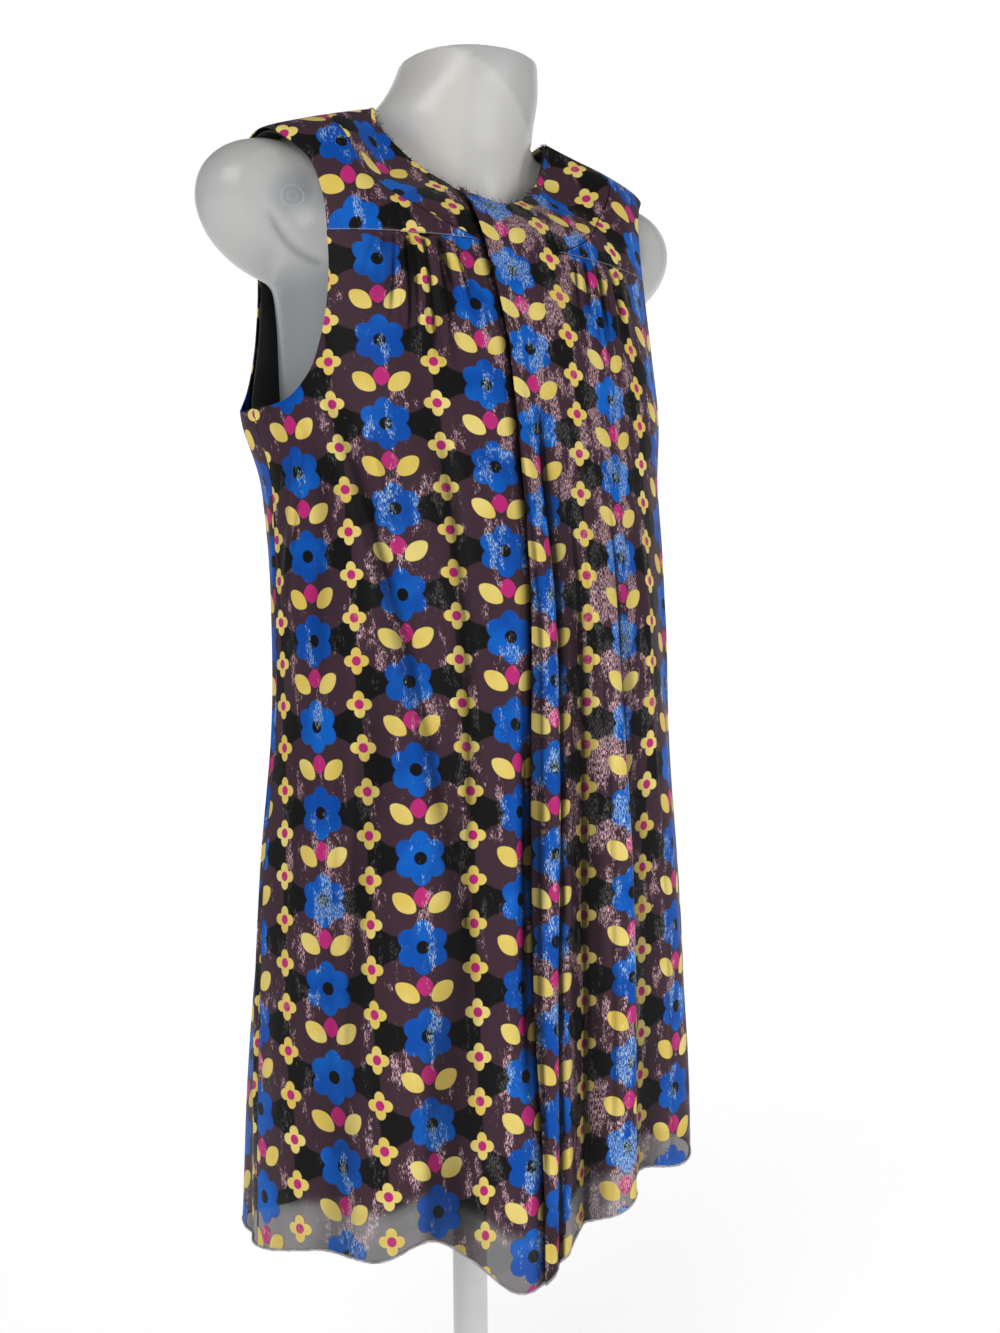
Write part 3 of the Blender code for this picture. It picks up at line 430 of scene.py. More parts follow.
# Small creases, in the same way: first those of the gathers under each yoke, then the slack ones.
CREASES = table(
    "angle_top angle_hem start full fade gone before after height",
    (-20.5, -17.0, 0.121, 0.130, 0.140, 0.200, 0.9, 0.7, 0.0016),
    (-22.6, -20.5, 0.121, 0.128, 0.138, 0.185, 0.7, 0.8, -0.0014),
    (-24.8, -24.5, 0.121, 0.130, 0.160, 0.250, 0.9, 1.0, 0.0026),
    (-27.0, -27.5, 0.121, 0.126, 0.155, 0.235, 0.7, 0.7, -0.0020),
    (-29.0, -31.0, 0.121, 0.130, 0.160, 0.240, 1.0, 0.8, 0.0026),
    (-31.4, -35.0, 0.121, 0.126, 0.150, 0.225, 0.7, 0.9, -0.0019),
    (-33.6, -39.0, 0.121, 0.128, 0.150, 0.210, 0.9, 1.1, 0.0019),
    (-38.5, -46.0, 0.121, 0.127, 0.132, 0.165, 1.1, 1.1, 0.0009),
    (17.0, 13.5, 0.121, 0.130, 0.140, 0.205, 0.8, 0.9, 0.0017),
    (19.4, 17.5, 0.121, 0.128, 0.138, 0.180, 0.8, 0.7, -0.0014),
    (21.8, 21.0, 0.121, 0.132, 0.150, 0.240, 1.0, 0.9, 0.0023),
    (24.2, 24.5, 0.121, 0.128, 0.140, 0.195, 0.7, 0.7, -0.0016),
    (26.4, 28.5, 0.121, 0.132, 0.150, 0.215, 0.9, 1.0, 0.0020),
    (29.0, 32.5, 0.121, 0.128, 0.136, 0.180, 0.7, 0.9, -0.0015),
    (31.6, 36.5, 0.121, 0.130, 0.142, 0.200, 1.0, 0.8, 0.0018),
    (35.4, 42.0, 0.121, 0.127, 0.134, 0.170, 1.1, 1.2, 0.0010),
    (-51, -45, 0.255, 0.300, 0.350, 0.430, 2.2, 1.6, 0.0014),
    (-63, -20, 0.220, 0.320, 0.540, 0.740, 3.6, 3.2, -0.0046),
    (-71, -92, 0.262, 0.300, 0.360, 0.450, 2.2, 1.6, 0.0018),
    (-60, -60, 0.420, 0.560, 0.700, 0.860, 2.4, 1.8, 0.0016),
    (-30, -27, 0.240, 0.340, 0.620, 0.820, 3.4, 2.6, -0.0042),
    (-7.5, -8.0, 0.200, 0.300, 0.800, 0.880, 1.2, 1.8, 0.0022),
    (-2.0, -5.0, 0.235, 0.340, 2.0, NEVER, 1.5, 1.1, -0.0062),
    (6.5, 7.5, 0.300, 0.440, 0.760, 0.900, 1.2, 1.2, 0.0014),
    (2.6, 4.0, 0.300, 0.480, 2.0, NEVER, 1.3, 0.8, -0.0028),
    (16.0, 17.0, 0.300, 0.460, 0.800, 0.920, 1.0, 1.3, -0.0030),
    (28, 31, 0.300, 0.460, 0.760, 0.900, 2.0, 1.5, 0.0015),
    (46, 50, 0.280, 0.400, 0.640, 0.800, 2.2, 1.7, 0.0014),
    (64, 90, 0.262, 0.300, 0.380, 0.520, 2.2, 2.8, -0.0020),
    (66, 70, 0.480, 0.640, 0.800, 0.900, 2.0, 2.2, 0.0014),
    (84, 92, 0.400, 0.560, 0.720, 0.880, 2.2, 2.0, -0.0014),
    (110, 104, 0.262, 0.310, 0.380, 0.500, 2.6, 2.2, 0.0018),
    (130, 134, 0.320, 0.420, 0.640, 0.820, 2.2, 2.4, 0.0015),
    (150, 152, 0.380, 0.520, 0.760, 0.900, 2.4, 1.8, -0.0014),
    (170, 168, 0.300, 0.440, 0.700, 0.860, 2.0, 2.4, 0.0015),
    (187, 190, 0.360, 0.520, 0.800, 0.900, 2.4, 2.0, 0.0014),
    (206, 208, 0.300, 0.420, 0.640, 0.800, 2.2, 1.8, -0.0013),
    (226, 224, 0.340, 0.480, 0.740, 0.880, 2.0, 2.4, 0.0015),
    (246, 252, 0.262, 0.310, 0.400, 0.520, 2.2, 2.6, -0.0018),
    (262, 268, 0.420, 0.560, 0.760, 0.900, 2.2, 2.0, 0.0014),
)

# Creases of the gathers let into each yoke seam, the same on either side of centre front.
GATHERS = table(
    "angle width height",
    (20.0, 2.4, 0.0022),
    (27.5, 2.4, 0.0030),
    (35.0, 2.6, 0.0022),
)
GATHER_LENGTH = 0.085
# Shares of that length over which they rise, and over which they die away.
GATHER_RISE = (0.0, 0.15)
GATHER_FADE = (0.3, 1.0)

HEM_EDGE = table(
    "angle drop",
    (-230, 0.874),
    (-180, 0.882),
    (-150, 0.886),
    (-115, 0.884),
    (-88, 0.887),
    (-66, 0.878),
    (-47, 0.879),
    (-35, 0.868),
    (-25, 0.883),
    (-15, 0.906),
    (-6, 0.893),
    (2, 0.873),
    (12, 0.863),
    (17, 0.848),
    (36, 0.845),
    (48, 0.838),
    (70, 0.846),
    (95, 0.858),
    (130, 0.874),
    (180, 0.882),
    (210, 0.886),
)

# Slow unevenness of the drape: waves round the body and down it, with a height each.
DRAPE_WAVES = table(
    "round down phase height",
    (7, 9.0, 0.4, 0.0007),
    (11, -13.0, 1.9, 0.0005),
    (17, 21.0, 3.1, 0.0003),
    (29, -34.0, 5.2, 0.0002),
)
# It grows over these drops.
SLACK_DROPS = (YOKE_DROP, 0.300)

# Shade of the folds: reaches, in degrees to either side, at which a trough is told from the
# cloth beside it, the depth at which it is in its deepest shade, and that shade. Narrow troughs
# are the darkest.
SHADE_REACHES = ((1.0, 0.0006, 1.0), (2.6, 0.0026, 0.68), (6.0, 0.0046, 0.56), (12.0, 0.0110, 0.36))
# It begins over these drops.
SHADE_TOP = (YOKE_DROP, YOKE_DROP + 0.004)
# The pressed edge of the panel throws a narrow shadow on the cloth beside it.
PLEAT_SHADOW = 0.0058

# The print: a flower in every repeat, a bud with two leaves half a repeat below it, and a
# blossom between the columns.
REPEAT_WIDTH = 0.080
REPEAT_HEIGHT = 0.064
FLOWER_RADIUS = 0.0198
FLOWER_EYE = 0.0048
PETALS = 6
PETAL_WAIST = 0.76
LEAF_LENGTH = 0.0103
LEAF_WIDTH = 0.0066
LEAF_TILT = math.radians(38)
LEAF_OUT = 0.0132
BUD_HEIGHT = 0.0072
BUD_WIDTH = 0.0064
BUD_RISE = 0.004
BLOSSOM_RADIUS = 0.0100
BLOSSOM_PETALS = 4
BLOSSOM_WAIST = 0.58
BLOSSOM_EYE = 0.0036
PATCH_WIDTH = 0.0385
PATCH_HEIGHT = 0.0256
PETAL_SHARPNESS = 14.0
# How square each of the other motifs is, from an ellipse's 2, and how sharp its edge is.
EYE_SHAPE = (2.0, 5.0)
LEAF_SHAPE = (1.7, 8.0)
BUD_SHAPE = (1.6, 8.0)
BLOSSOM_EYE_SHAPE = (2.0, 4.0)
PATCH_SHAPE = (2.6, 9.0)
COBALT_STEP = (0.40, 0.66)
YELLOW_STEP = (0.35, 0.70)

# Metallic flecks: streaks of noise inside clusters of it, fewer over the ground than over the
# plum and the flowers, and more about the middle of the front, as painted glints of the light.
MIDDLE_PLACE = 0.020
MIDDLE_REACH = (0.020, 0.095)
FLECK_STEP = (0.600, 0.645)
CLUSTER_STEP = (0.515, 0.63)
CROWD_WEIGHT = 0.10
REGION_WEIGHT = 0.30
MIDDLE_GLINT_WEIGHT = 0.09
FLECKS_ON_GROUND = 0.30
FLECKS_ON_FLOWERS = 0.80
FLECK_COVER = 0.95
# Seams, by the distance from them: a dark groove of painted shade, and at the yoke seam a thin
# pale line past it, a painted highlight where the turned edge catches the light.
SEAM_EDGE = (0.0003, 0.0006)
SEAM_FAR = (0.0012, 0.0016)
SEAM_HIGHLIGHT = 0.55
SEAM_DARK = 0.9
# How far the painted shade of troughs, seam grooves and the panel's edge darkens the cloth.
TROUGH_DARKENS = 0.94
# Past the lining: how clear the ground is, how much less the print, and how much less a trough.
SHEER_CLEAR = 0.45
SHEER_PRINT = 0.30
SHEER_TROUGH = 0.7

# Noises of the finishes. A stretch is in waves to the metre along each axis, and a scale in waves
# to the metre all ways.
CLOUD = {"scale": 22.0, "detail": 3.0}
STREAKS = {"detail": 5.0, "roughness": 0.72, "stretch": (1500.0, 330.0, 1.0)}
CLUSTERS = {"detail": 5.0, "roughness": 0.66, "stretch": (74.0, 26.0, 1.0)}
REGIONS = {"detail": 1.0, "stretch": (13.0, 7.0, 1.0)}
SLUBS = {"detail": 3.0, "roughness": 0.6, "stretch": (160.0, 160.0, 30.0)}
PLAIN_WEAVE = {"scale": 2400.0}
RIPPLES = {"scale": 9.0}
GRAIN = {"scale": 900.0, "detail": 3.0}
SCUFFS = {"detail": 5.0, "roughness": 0.7, "stretch": (120.0, 60.0, 18.0)}
PEEL = {"scale": 420.0}
DUST = {"scale": 14.0, "detail": 4.0, "roughness": 0.65}
FIBRES = {"scale": 60.0, "detail": 4.0, "roughness": 0.6}

# Radians of the satin weave's waves in a metre, and how high each thing stands in its relief.
WEAVE = 5200.0
CLOTH_RELIEF = {"weave": 0.25, "fleck": 1.2, "cloud": 0.6, "seam": 2.0}
CLOTH_ROUGHNESS = 0.50
CLOTH_SPECULAR = 0.12
FLECK_POLISH = 0.20
FLECK_METALLIC = 0.35
# Plain cloth: how much paler its slubs are, where, and how much rougher.
SLUB_PALER = (1.7, 0.004)
SLUB_STEP = (0.4, 0.7)
SLUB_ROUGHENS = 0.10
PLAIN_RELIEF = {"weave": 0.4, "slubs": 0.6}
PLAIN_ROUGHNESS = 0.57
PLAIN_SHEEN = 0.15
# Plastic of the form: tones of its ripples, scuffs, crease and socket, and how much of each
# shows. The crease's dark line is painted shade.
RIPPLE_TONE = (0.95, 0.96, 0.99)
RIPPLE_STEP = (0.35, 0.65)
SCUFF_TONE = (0.55, 0.54, 0.53)
SCUFF_STEP = (0.66, 0.76)
SCUFF_SHOWS = 0.25
CAP_CREASE_SHADE_TONE = 0.55
CAP_CREASE_SHADE_SHOWS = 0.45
SOCKET_TONE = (0.60, 0.62, 0.64)
RING_SHOWS = 0.35
DIMPLE_SHOWS = 0.20
FORM_RELIEF = {"grain": 0.05, "ring": 1.6, "dimple": 0.8, "crease": 1.2}
FORM_ROUGHNESS = 0.30
DULL_STEP = (0.55, 0.75)
SCUFF_ROUGHENS = 0.12
GRAIN_ROUGHENS = 0.03
FORM_COAT = 0.15
FORM_COAT_ROUGHNESS = 0.2
# Paint of the stand.
DUST_TONE = 0.88
DUST_STEP = (0.45, 0.75)
DUST_SHOWS = 0.6
DUST_ROUGHENS = 0.12
PEEL_ROUGHENS = 0.04
PAINT_ROUGHNESS = 0.34
TUBE_ROUGHNESS = 0.24
# Paper of the floor.
PAPER_TONE = 1.02
PAPER_ROUGHNESS = 0.8
FIBRE_ROUGHENS = 0.1

# Flat cuts of the pieces: width and length, and the area, which isn't their product.
FLAT_LINING_FRONT = (0.50, 0.86)
AREA_LINING_FRONT = 0.36
FLAT_LINING_BACK = (0.47, 0.86)
AREA_LINING_BACK = 0.34
FLAT_YOKE = (0.16, 0.14)
AREA_YOKE = 0.0078
FLAT_BAND = (0.13, 0.15)
AREA_BAND = 0.0092
# How far the print is shifted across the left front, and across the panel's top, where it is
# measured from the centre plane.
PANEL_PRINT_SHIFT = 0.021
PANEL_TOP_SHIFT = 0.055
# How far the print of each piece above the yoke seam is shifted, across and up.
PIECE_PRINT_SHIFT = {
    "yoke_right": (0.012, 0.017),
    "yoke_left": (0.055, 0.0),
    "neck_band_right": (0.052, 0.024),
    "neck_band_left": (0.055, 0.0),
}

# The paper reaches this far each way from the object and sweeps up behind it. Lights are placed
# from a point inside the dress, with their sizes. The camera looks at the wearer's right front.
PAPER_HALF = 4.0
PAPER_SWEEP = 1.2
PAPER_HEIGHT = 4.0
PAPER_STEPS = 16
LIGHT_TARGET_DROP = 0.40
KEY_PLACE = (-2.0, -1.8, 1.3)
KEY_SIZE = 1.4
FILL_PLACE = (1.2, -2.6, 0.4)
FILL_SIZE = 1.6
CAMERA_TURN = -31.87
CAMERA_YAW = -1.25
CAMERA_PITCH = 1.86
CAMERA_ROLL = -0.72
CAMERA_DISTANCE = 1.402
CAMERA_DROP = 0.494
SENSOR_HEIGHT_MM = 24.0
PICTURE_HEIGHT = 1333
FOCAL_PIXELS = 1700


# ---------------------------------------------------------------- curves and surfaces
def curve(rows, key, column, at):
    """A smooth curve through one column of a table."""
    xs, ys = rows[key], rows[column]
    at = np.asarray(at, float)
    slopes = np.gradient(ys, xs)
    low = np.clip(np.searchsorted(xs, at) - 1, 0, len(xs) - 2)
    span = xs[low + 1] - xs[low]
    t = np.clip((at - xs[low]) / span, -RUN_ON, 1.0 + RUN_ON)
    start = ys[low] * (2 * t**3 - 3 * t**2 + 1) + span * slopes[low] * (t**3 - 2 * t**2 + t)
    end = ys[low + 1] * (3 * t**2 - 2 * t**3) + span * slopes[low + 1] * (t**3 - t**2)
    return start + end


def smooth_step(low, high, value):
    """0 up to low, 1 from high on, and smooth between them."""
    t = np.clip((value - low) / (high - low), 0.0, 1.0)
    return t * t * (3.0 - 2.0 * t)


def from_front(angle):
    """An angle brought into the range -180 to 180."""
    return (np.asarray(angle, float) + 180.0) % 360.0 - 180.0


RIDGE_DROPS = np.linspace(0.0, RIDGE_DEPTH, MANY)
RIDGE_HALF_WIDTHS = curve(DRESS_SECTIONS, "drop", "half_width", RIDGE_DROPS)


def ridge_drop(x):
    """Drop of the shoulder seam at a distance from the centre plane."""
    return np.interp(np.abs(x), RIDGE_HALF_WIDTHS, RIDGE_DROPS)


def hollow_depth(x, y, drop):
    """How far a point of the cloth or the torso lies back, in the hollow beside the neck."""
    beside = 1.0 - smooth_step(*HOLLOW_REACH, np.abs(x))
    before = 1.0 - smooth_step(*HOLLOW_DEPTH_RANGE, y)
    return curve(NECK_HOLLOW, "below", "depth", drop - ridge_drop(x)) * beside * before


def level_point(sections, angle, drop):
    """A point on the section of a body at one drop."""
    turn = np.radians(angle)
    sine, cosine = np.sin(turn), np.cos(turn)
    half_width = curve(sections, "drop", "half_width", drop)
    before = -curve(sections, "drop", "front", drop)
    behind = curve(sections, "drop", "back", drop)
    x = half_width * np.sign(sine) * np.abs(sine) ** (2 / SQUARENESS)
    y = np.where(cosine > 0, before, behind) * np.abs(cosine) ** (2 / SQUARENESS)
    if sections is not NECK_SECTIONS:
        y = y + hollow_depth(x, y, drop)
    return np.stack(np.broadcast_arrays(x, y, NECK_POINT_HEIGHT - drop), axis=-1)


def angle_at(x, drop):
    """The angle at which the cloth is x from the centre plane, before the shoulder line."""
    share = np.clip(np.abs(x) / curve(DRESS_SECTIONS, "drop", "half_width", drop), 0.0, 1.0)
    return np.sign(x) * np.degrees(np.arcsin(share ** (SQUARENESS / 2)))


def gather_height(angle, drop):
    """Lift of the cloth by the creases of the gathers."""
    below = (drop - YOKE_DROP) / GATHER_LENGTH
    strength = smooth_step(*GATHER_RISE, below) * (1.0 - smooth_step(*GATHER_FADE, below))
    height = 0.0
    for middle, width, lift in zip(GATHERS["angle"], GATHERS["width"], GATHERS["height"]):
        height = height + lift * np.exp(-(((np.abs(from_front(angle)) - middle) / width) ** 2))
    return height * strength


def table_height(folds, ends, angle, drop):
    """Lift of the cloth by every fold of a table. Each reaches its angle_hem at its end's drop."""
    height = 0.0
    for i, end in enumerate(ends):
        fold = {name: column[i] for name, column in folds.items()}
        run = np.clip((drop - fold["start"]) / (end - fold["start"]), 0.0, FOLD_RUN_MOST)
        middle = fold["angle_top"] + (fold["angle_hem"] - fold["angle_top"]) * run
        away = from_front(angle - middle)
        width = np.where(away < 0, fold["before"], fold["after"])
        strength = smooth_step(fold["start"], fold["full"], drop)
        strength = strength * (1.0 - smooth_step(fold["fade"], fold["gone"], drop))
        height = height + fold["height"] * strength * np.exp(-((away / width) ** 2))
    return height


def fold_height(angle, drop):
    """Lift of the cloth by the gathers and by the folds, whose runs end at the dress's length."""
    ends = np.full(len(FOLDS["height"]), DRESS_LENGTH)
    return gather_height(angle, drop) + table_height(FOLDS, ends, angle, drop)


def drape_height(angle, drop):
    """Small creases and the slow unevenness of hanging cloth, none of it at the shoulders."""
    turn = np.radians(angle)
    height = table_height(CREASES, np.minimum(CREASES["gone"], DRESS_LENGTH), angle, drop)
    slack = smooth_step(*SLACK_DROPS, drop)
    for i in range(len(DRAPE_WAVES["height"])):
        wave = {name: column[i] for name, column in DRAPE_WAVES.items()}
        swing = wave["round"] * turn + wave["down"] * drop + wave["phase"]
        height = height + slack * wave["height"] * np.sin(swing)
    return height


def cloth_shade(angle, drop):
    """0 on ridges and up to 1 in a deep trough, which less light reaches."""

    def lift(at):
        return fold_height(at, drop) + drape_height(at, drop)

    here = lift(angle)
    shade = 0.0
    for reach, deep, darkest in SHADE_REACHES:
        beside = 0.5 * (lift(angle + reach) + lift(angle - reach))
        shade = np.maximum(shade, darkest * np.clip((beside - here) / deep, 0.0, 1.0))
    return shade * smooth_step(*SHADE_TOP, drop)


def past_panel_edge(angle, drop):
    """How far a place lies to the wearer's left of the panel's right edge."""
    x = level_point(DRESS_SECTIONS, angle, drop)[..., 0]
    return x + curve(PANEL_EDGE, "drop", "half_width", drop)


def pleat_shade(angle, drop):
    """Shadow beside the panel's pressed edge, on the cloth of the wearer's right."""
    return np.exp(-((np.minimum(past_panel_edge(angle, drop), 0.0) / PLEAT_SHADOW) ** 2))


def hem_drop(angle):
    """Drop of the hem at an angle round the body."""
    return curve(HEM_EDGE, "angle", "drop", from_front(angle))


def cloth_surface(angle, drop, folds):
    """The outer face of the dress. Folds are lifted level, straight out from the section."""
    ahead = level_point(DRESS_SECTIONS, angle + STEP_ANGLE, drop)
    behind = level_point(DRESS_SECTIONS, angle - STEP_ANGLE, drop)
    along = ahead - behind
    outward = np.stack([along[..., 1], -along[..., 0], np.zeros_like(along[..., 0])], axis=-1)
    outward /= np.linalg.norm(outward, axis=-1, keepdims=True)
    lift = folds * (fold_height(angle, drop) + drape_height(angle, drop))
    return level_point(DRESS_SECTIONS, angle, drop) + outward * lift[..., None]


def cloth_point(angle, drop, depth, folds):
    """A point sunk by depth under the outer face, square to it."""
    left = cloth_surface(angle + STEP_ANGLE, drop, folds)
    right = cloth_surface(angle - STEP_ANGLE, drop, folds)
    low = cloth_surface(angle, drop + STEP_DROP, folds)
    high = cloth_surface(angle, drop - STEP_DROP, folds)
    outward = np.cross(low - high, left - right)
    outward /= np.linalg.norm(outward, axis=-1, keepdims=True)
    depth = np.broadcast_to(depth, angle.shape)
    return cloth_surface(angle, drop, folds) - outward * depth[..., None]


def panel_angle(drop, share):
    """Angle of a place across the centre panel: share 0 is its right edge and 1 its left."""
    half_width = curve(PANEL_EDGE, "drop", "half_width", drop)
    return angle_at(half_width * (2.0 * share - 1.0), drop)


def tuck_depth(angle, drop):
    """How far the cloth of the wearer's right is sunk, to pass under the panel's edge."""
    sunk = smooth_step(-PLEAT_RAMP, -PLEAT_RAMP_END, past_panel_edge(angle, drop))
    return (CLOTH + LAYER_GAP) * sunk


def pleat_depth(angle, drop):
    """Less than nothing, where the pressed edge of the panel stands proud."""
    return -PLEAT_LIFT * (1.0 - smooth_step(0.0, PLEAT_LIFT_WIDTH, past_panel_edge(angle, drop)))


def lining_depth(angle, drop):
    """Depth of the lining's outer face: free of the folds, and of the panel's second layer."""
    past_pleat = smooth_step(PLEAT_LINING_ANGLE, PLAIN_LINING_ANGLE, np.abs(from_front(angle)))
    doubled = (CLOTH + LAYER_GAP) * (1.0 - past_pleat)
    shoulder = LINING_SLACK_SHOULDER * (1.0 - smooth_step(*LINING_SLACK_RANGE, drop))
    waist = LINING_EASE_WAIST * smooth_step(*LINING_WAIST_RANGE, drop)
    hem = LINING_EASE_HEM * smooth_step(*LINING_HEM_RANGE, drop)
    return CLOTH + LINING_GAP + doubled + shoulder + waist + hem


# ---------------------------------------------------------------- outlines
def u_curve(turn, half_width, lowest, squareness):
    """Points x, drop on a U from its bottom (turn 0) to the shoulder seam (turn 1)."""
    quarter = np.asarray(turn, float) * math.pi / 2
    top = ridge_drop(half_width)
    x = half_width * np.sin(quarter) ** (2 / squareness)
    return x, top + (lowest - top) * np.maximum(np.cos(quarter), 0.0) ** (2 / squareness)


def turn_at(x, half_width, squareness):
    """The turn at which such a U is x from the centre plane."""
    return math.asin((x / half_width) ** (squareness / 2)) / (math.pi / 2)


def front_neck_drop(x):
    """Drop of the front neckline at a distance from the centre plane."""
    neck_point = ridge_drop(NECK_HALF_WIDTH)
    share = (np.abs(x) / NECK_HALF_WIDTH) ** FRONT_NECK_SQUARENESS
    depth = (1.0 - share) ** (1 / FRONT_NECK_SQUARENESS)
    return neck_point + (FRONT_NECK_DROP - neck_point) * depth


def panel_top(share):
    """Drops at which the centre panel's top meets the neckline."""
    drop = FRONT_NECK_DROP
    for _ in range(PANEL_TOP_ROUNDS):
        half_width = curve(PANEL_EDGE, "drop", "half_width", drop)
        drop = front_neck_drop(half_width * (2.0 * share - 1.0))
    return drop


def part_way(edge, share):
    """Points x, drop at shares of the length of an edge on the upper front, given by many."""
    x, drop = edge
    points = level_point(DRESS_SECTIONS, angle_at(x, drop), drop)
    along = np.concatenate([[0.0], np.cumsum(np.linalg.norm(np.diff(points, axis=0), axis=-1))])
    at = np.asarray(share) * along[-1]
    return np.interp(at, along, x), np.interp(at, along, drop)


def band_seam():
    """Points x, drop of the seam between band and yoke, from the panel to the shoulder."""
    edge = float(curve(PANEL_EDGE, "drop", "half_width", YOKE_DROP))
    start = turn_at(edge, BAND_HALF_WIDTH, BAND_SQUARENESS)
    top = ridge_drop(BAND_HALF_WIDTH)
    lowest = top + (YOKE_DROP - top) / math.cos(start * math.pi / 2) ** (2 / BAND_SQUARENESS)
    turn = np.linspace(start, 1.0, MANY)
    seam = u_curve(turn, BAND_HALF_WIDTH, lowest, BAND_SQUARENESS)
    return part_way(seam, BAND_SHARES)


def spread(angles, drops, rows):
    """Evenly spaced places along an edge that is given by a few of its points, rounded off."""
    length = np.hypot(np.radians(np.diff(angles)) * SHOULDER_HALF_WIDTH, np.diff(drops))
    along = np.concatenate([[0.0], np.cumsum(length)])
    at = np.linspace(0.0, along[-1], rows + 1)
    edge = {"at": along, "angle": angles, "drop": drops}
    return curve(edge, "at", "angle", at), np.minimum(curve(edge, "at", "drop", at), UNDERARM_DROP)


# ---------------------------------------------------------------- meshes
def grid_faces(columns, rows):
    """Faces of a grid of points, given row by row."""
    wide = columns + 1
    return [
        (j * wide + i, j * wide + i + 1, (j + 1) * wide + i + 1, (j + 1) * wide + i)
        for j in range(rows)
        for i in range(columns)
    ]


def rim_of(faces):
    """The edges that only one face has."""
    edges = {(f[k], f[(k + 1) % len(f)]) for f in faces for k in range(len(f))}
    return [(a, b) for a, b in sorted(edges) if (b, a) not in edges]


def wall_faces(faces, count):
    """Faces of a closed wall, given those of its outer skin, whose points are followed by
    as many on its inner skin."""
    inner = [tuple(index + count for index in reversed(face)) for face in faces]
    return list(faces) + inner + [(b, a, a + count, b + count) for a, b in rim_of(faces)]


def add_values(mesh, values):
    """Gives every point of a mesh a number under each name."""
    for key, numbers in values.items():
        attribute = mesh.attributes.new(key, "FLOAT", "POINT")
        attribute.data.foreach_set("value", np.asarray(numbers, np.float32))


def mesh_rows(mesh, key):
    """The places (co) or the normals (normal) of a mesh's points, a row for each."""
    numbers = np.empty(len(mesh.vertices) * 3)
    mesh.vertices.foreach_get(key, numbers)
    return numbers.reshape(-1, 3)


def new_piece(name, points, faces, materials, places=None, values=None):
    """A named object from points and faces, with its lengths on the cloth and the named
    numbers of its points."""
    mesh = bpy.data.meshes.new(name)
    mesh.from_pydata([tuple(point) for point in np.asarray(points, float)], [], faces)
    shaped = bmesh.new()
    shaped.from_mesh(mesh)
    bmesh.ops.recalc_face_normals(shaped, faces=shaped.faces)
    shaped.to_mesh(mesh)
    shaped.free()
    mesh.shade_smooth()
    mesh.set_sharp_from_angle(angle=SHARP_ANGLE)
    if places is not None:
        loops = np.empty(len(mesh.loops), np.int32)
        mesh.loops.foreach_get("vertex_index", loops)
        layer = mesh.uv_layers.new(name="cloth_lengths")
        layer.data.foreach_set("uv", np.asarray(places, np.float32)[loops].ravel())
    add_values(mesh, values or {})
    piece = bpy.data.objects.new(name, mesh)
    bpy.context.scene.collection.objects.link(piece)
    for material in materials:
        mesh.materials.append(material)
    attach(piece, "root")
    return piece


def tube_along(route, radius, sides):
    """Points and faces of a tube along a route, closed at both ends."""
    route = np.asarray(route, float)
    along = np.concatenate([route[1:], route[-1:]]) - np.concatenate([route[:1], route[:-1]])
    along /= np.linalg.norm(along, axis=-1, keepdims=True)
    across = np.cross(along, np.array(OFF_ROUTE))
    across /= np.linalg.norm(across, axis=-1, keepdims=True)
    upward = np.cross(across, along)
    turn = np.linspace(0.0, 2 * math.pi, sides, endpoint=False)[None, :, None]
    radius = np.broadcast_to(radius, (len(route),))
    ring = across[:, None] * np.cos(turn) + upward[:, None] * np.sin(turn)
    points = (route[:, None] + ring * radius[:, None, None]).reshape(-1, 3)
    faces = []
    for here in range(0, (len(route) - 1) * sides, sides):
        for i in range(sides):
            beside = (i + 1) % sides
            faces.append((here + i, here + beside, here + sides + beside, here + sides + i))
    faces.append(tuple(reversed(range(sides))))
    faces.append(tuple((len(route) - 1) * sides + i for i in range(sides)))
    return points, faces


def nearest(points, route):
    """Distance of each point from the nearest point of a route."""
    route = np.asarray(route, float)
    best = np.full(len(points), FAR_AWAY)
    for start in range(0, len(route), NEAREST_AT_ONCE):
        some = route[None, start : start + NEAREST_AT_ONCE]
        gaps = np.linalg.norm(points[:, None] - some, axis=-1)
        best = np.minimum(best, gaps.min(axis=1))
    return best


def row_lengths(points):
    """Lengths along each row of a grid of points."""
    steps = np.linalg.norm(np.diff(points, axis=1), axis=-1)
    return np.concatenate([np.zeros((len(points), 1)), np.cumsum(steps, axis=1)], axis=1)


def slope_places(points):
    """Lengths across and up the slope of the shoulders, for the pieces above the yoke seam."""
    rise = points[..., 2] - (NECK_POINT_HEIGHT - YOKE_DROP)
    back = points[..., 1] + YOKE_FRONT
    up = rise * math.cos(SHOULDER_SLOPE) + back * math.sin(SHOULDER_SLOPE)
    return np.stack([points[..., 0], DRESS_LENGTH - YOKE_DROP + up], axis=-1)


def cloth_piece(name, angle, drop, depth, thickness, folds, materials, places, edges, faces=None):
    """A wall of cloth over a patch of places. Every route in edges is a finished edge, and
    its distance goes with each point as an attribute of that name."""
    if faces is None:
        faces = grid_faces(angle.shape[1] - 1, angle.shape[0] - 1)
    outer = cloth_point(angle, drop, depth, folds).reshape(-1, 3)
    inner = cloth_point(angle, drop, depth + thickness, folds).reshape(-1, 3)
    points = np.concatenate([outer, inner])
    values = {}
    for key, route in edges.items():
        away = nearest(outer, route) if len(route) else np.full(len(outer), FAR_AWAY)
        values[key] = np.tile(away, 2)
    places = np.tile(places.reshape(-1, 2), (2, 1))
    return new_piece(name, points, wall_faces(faces, len(outer)), materials, places, values)


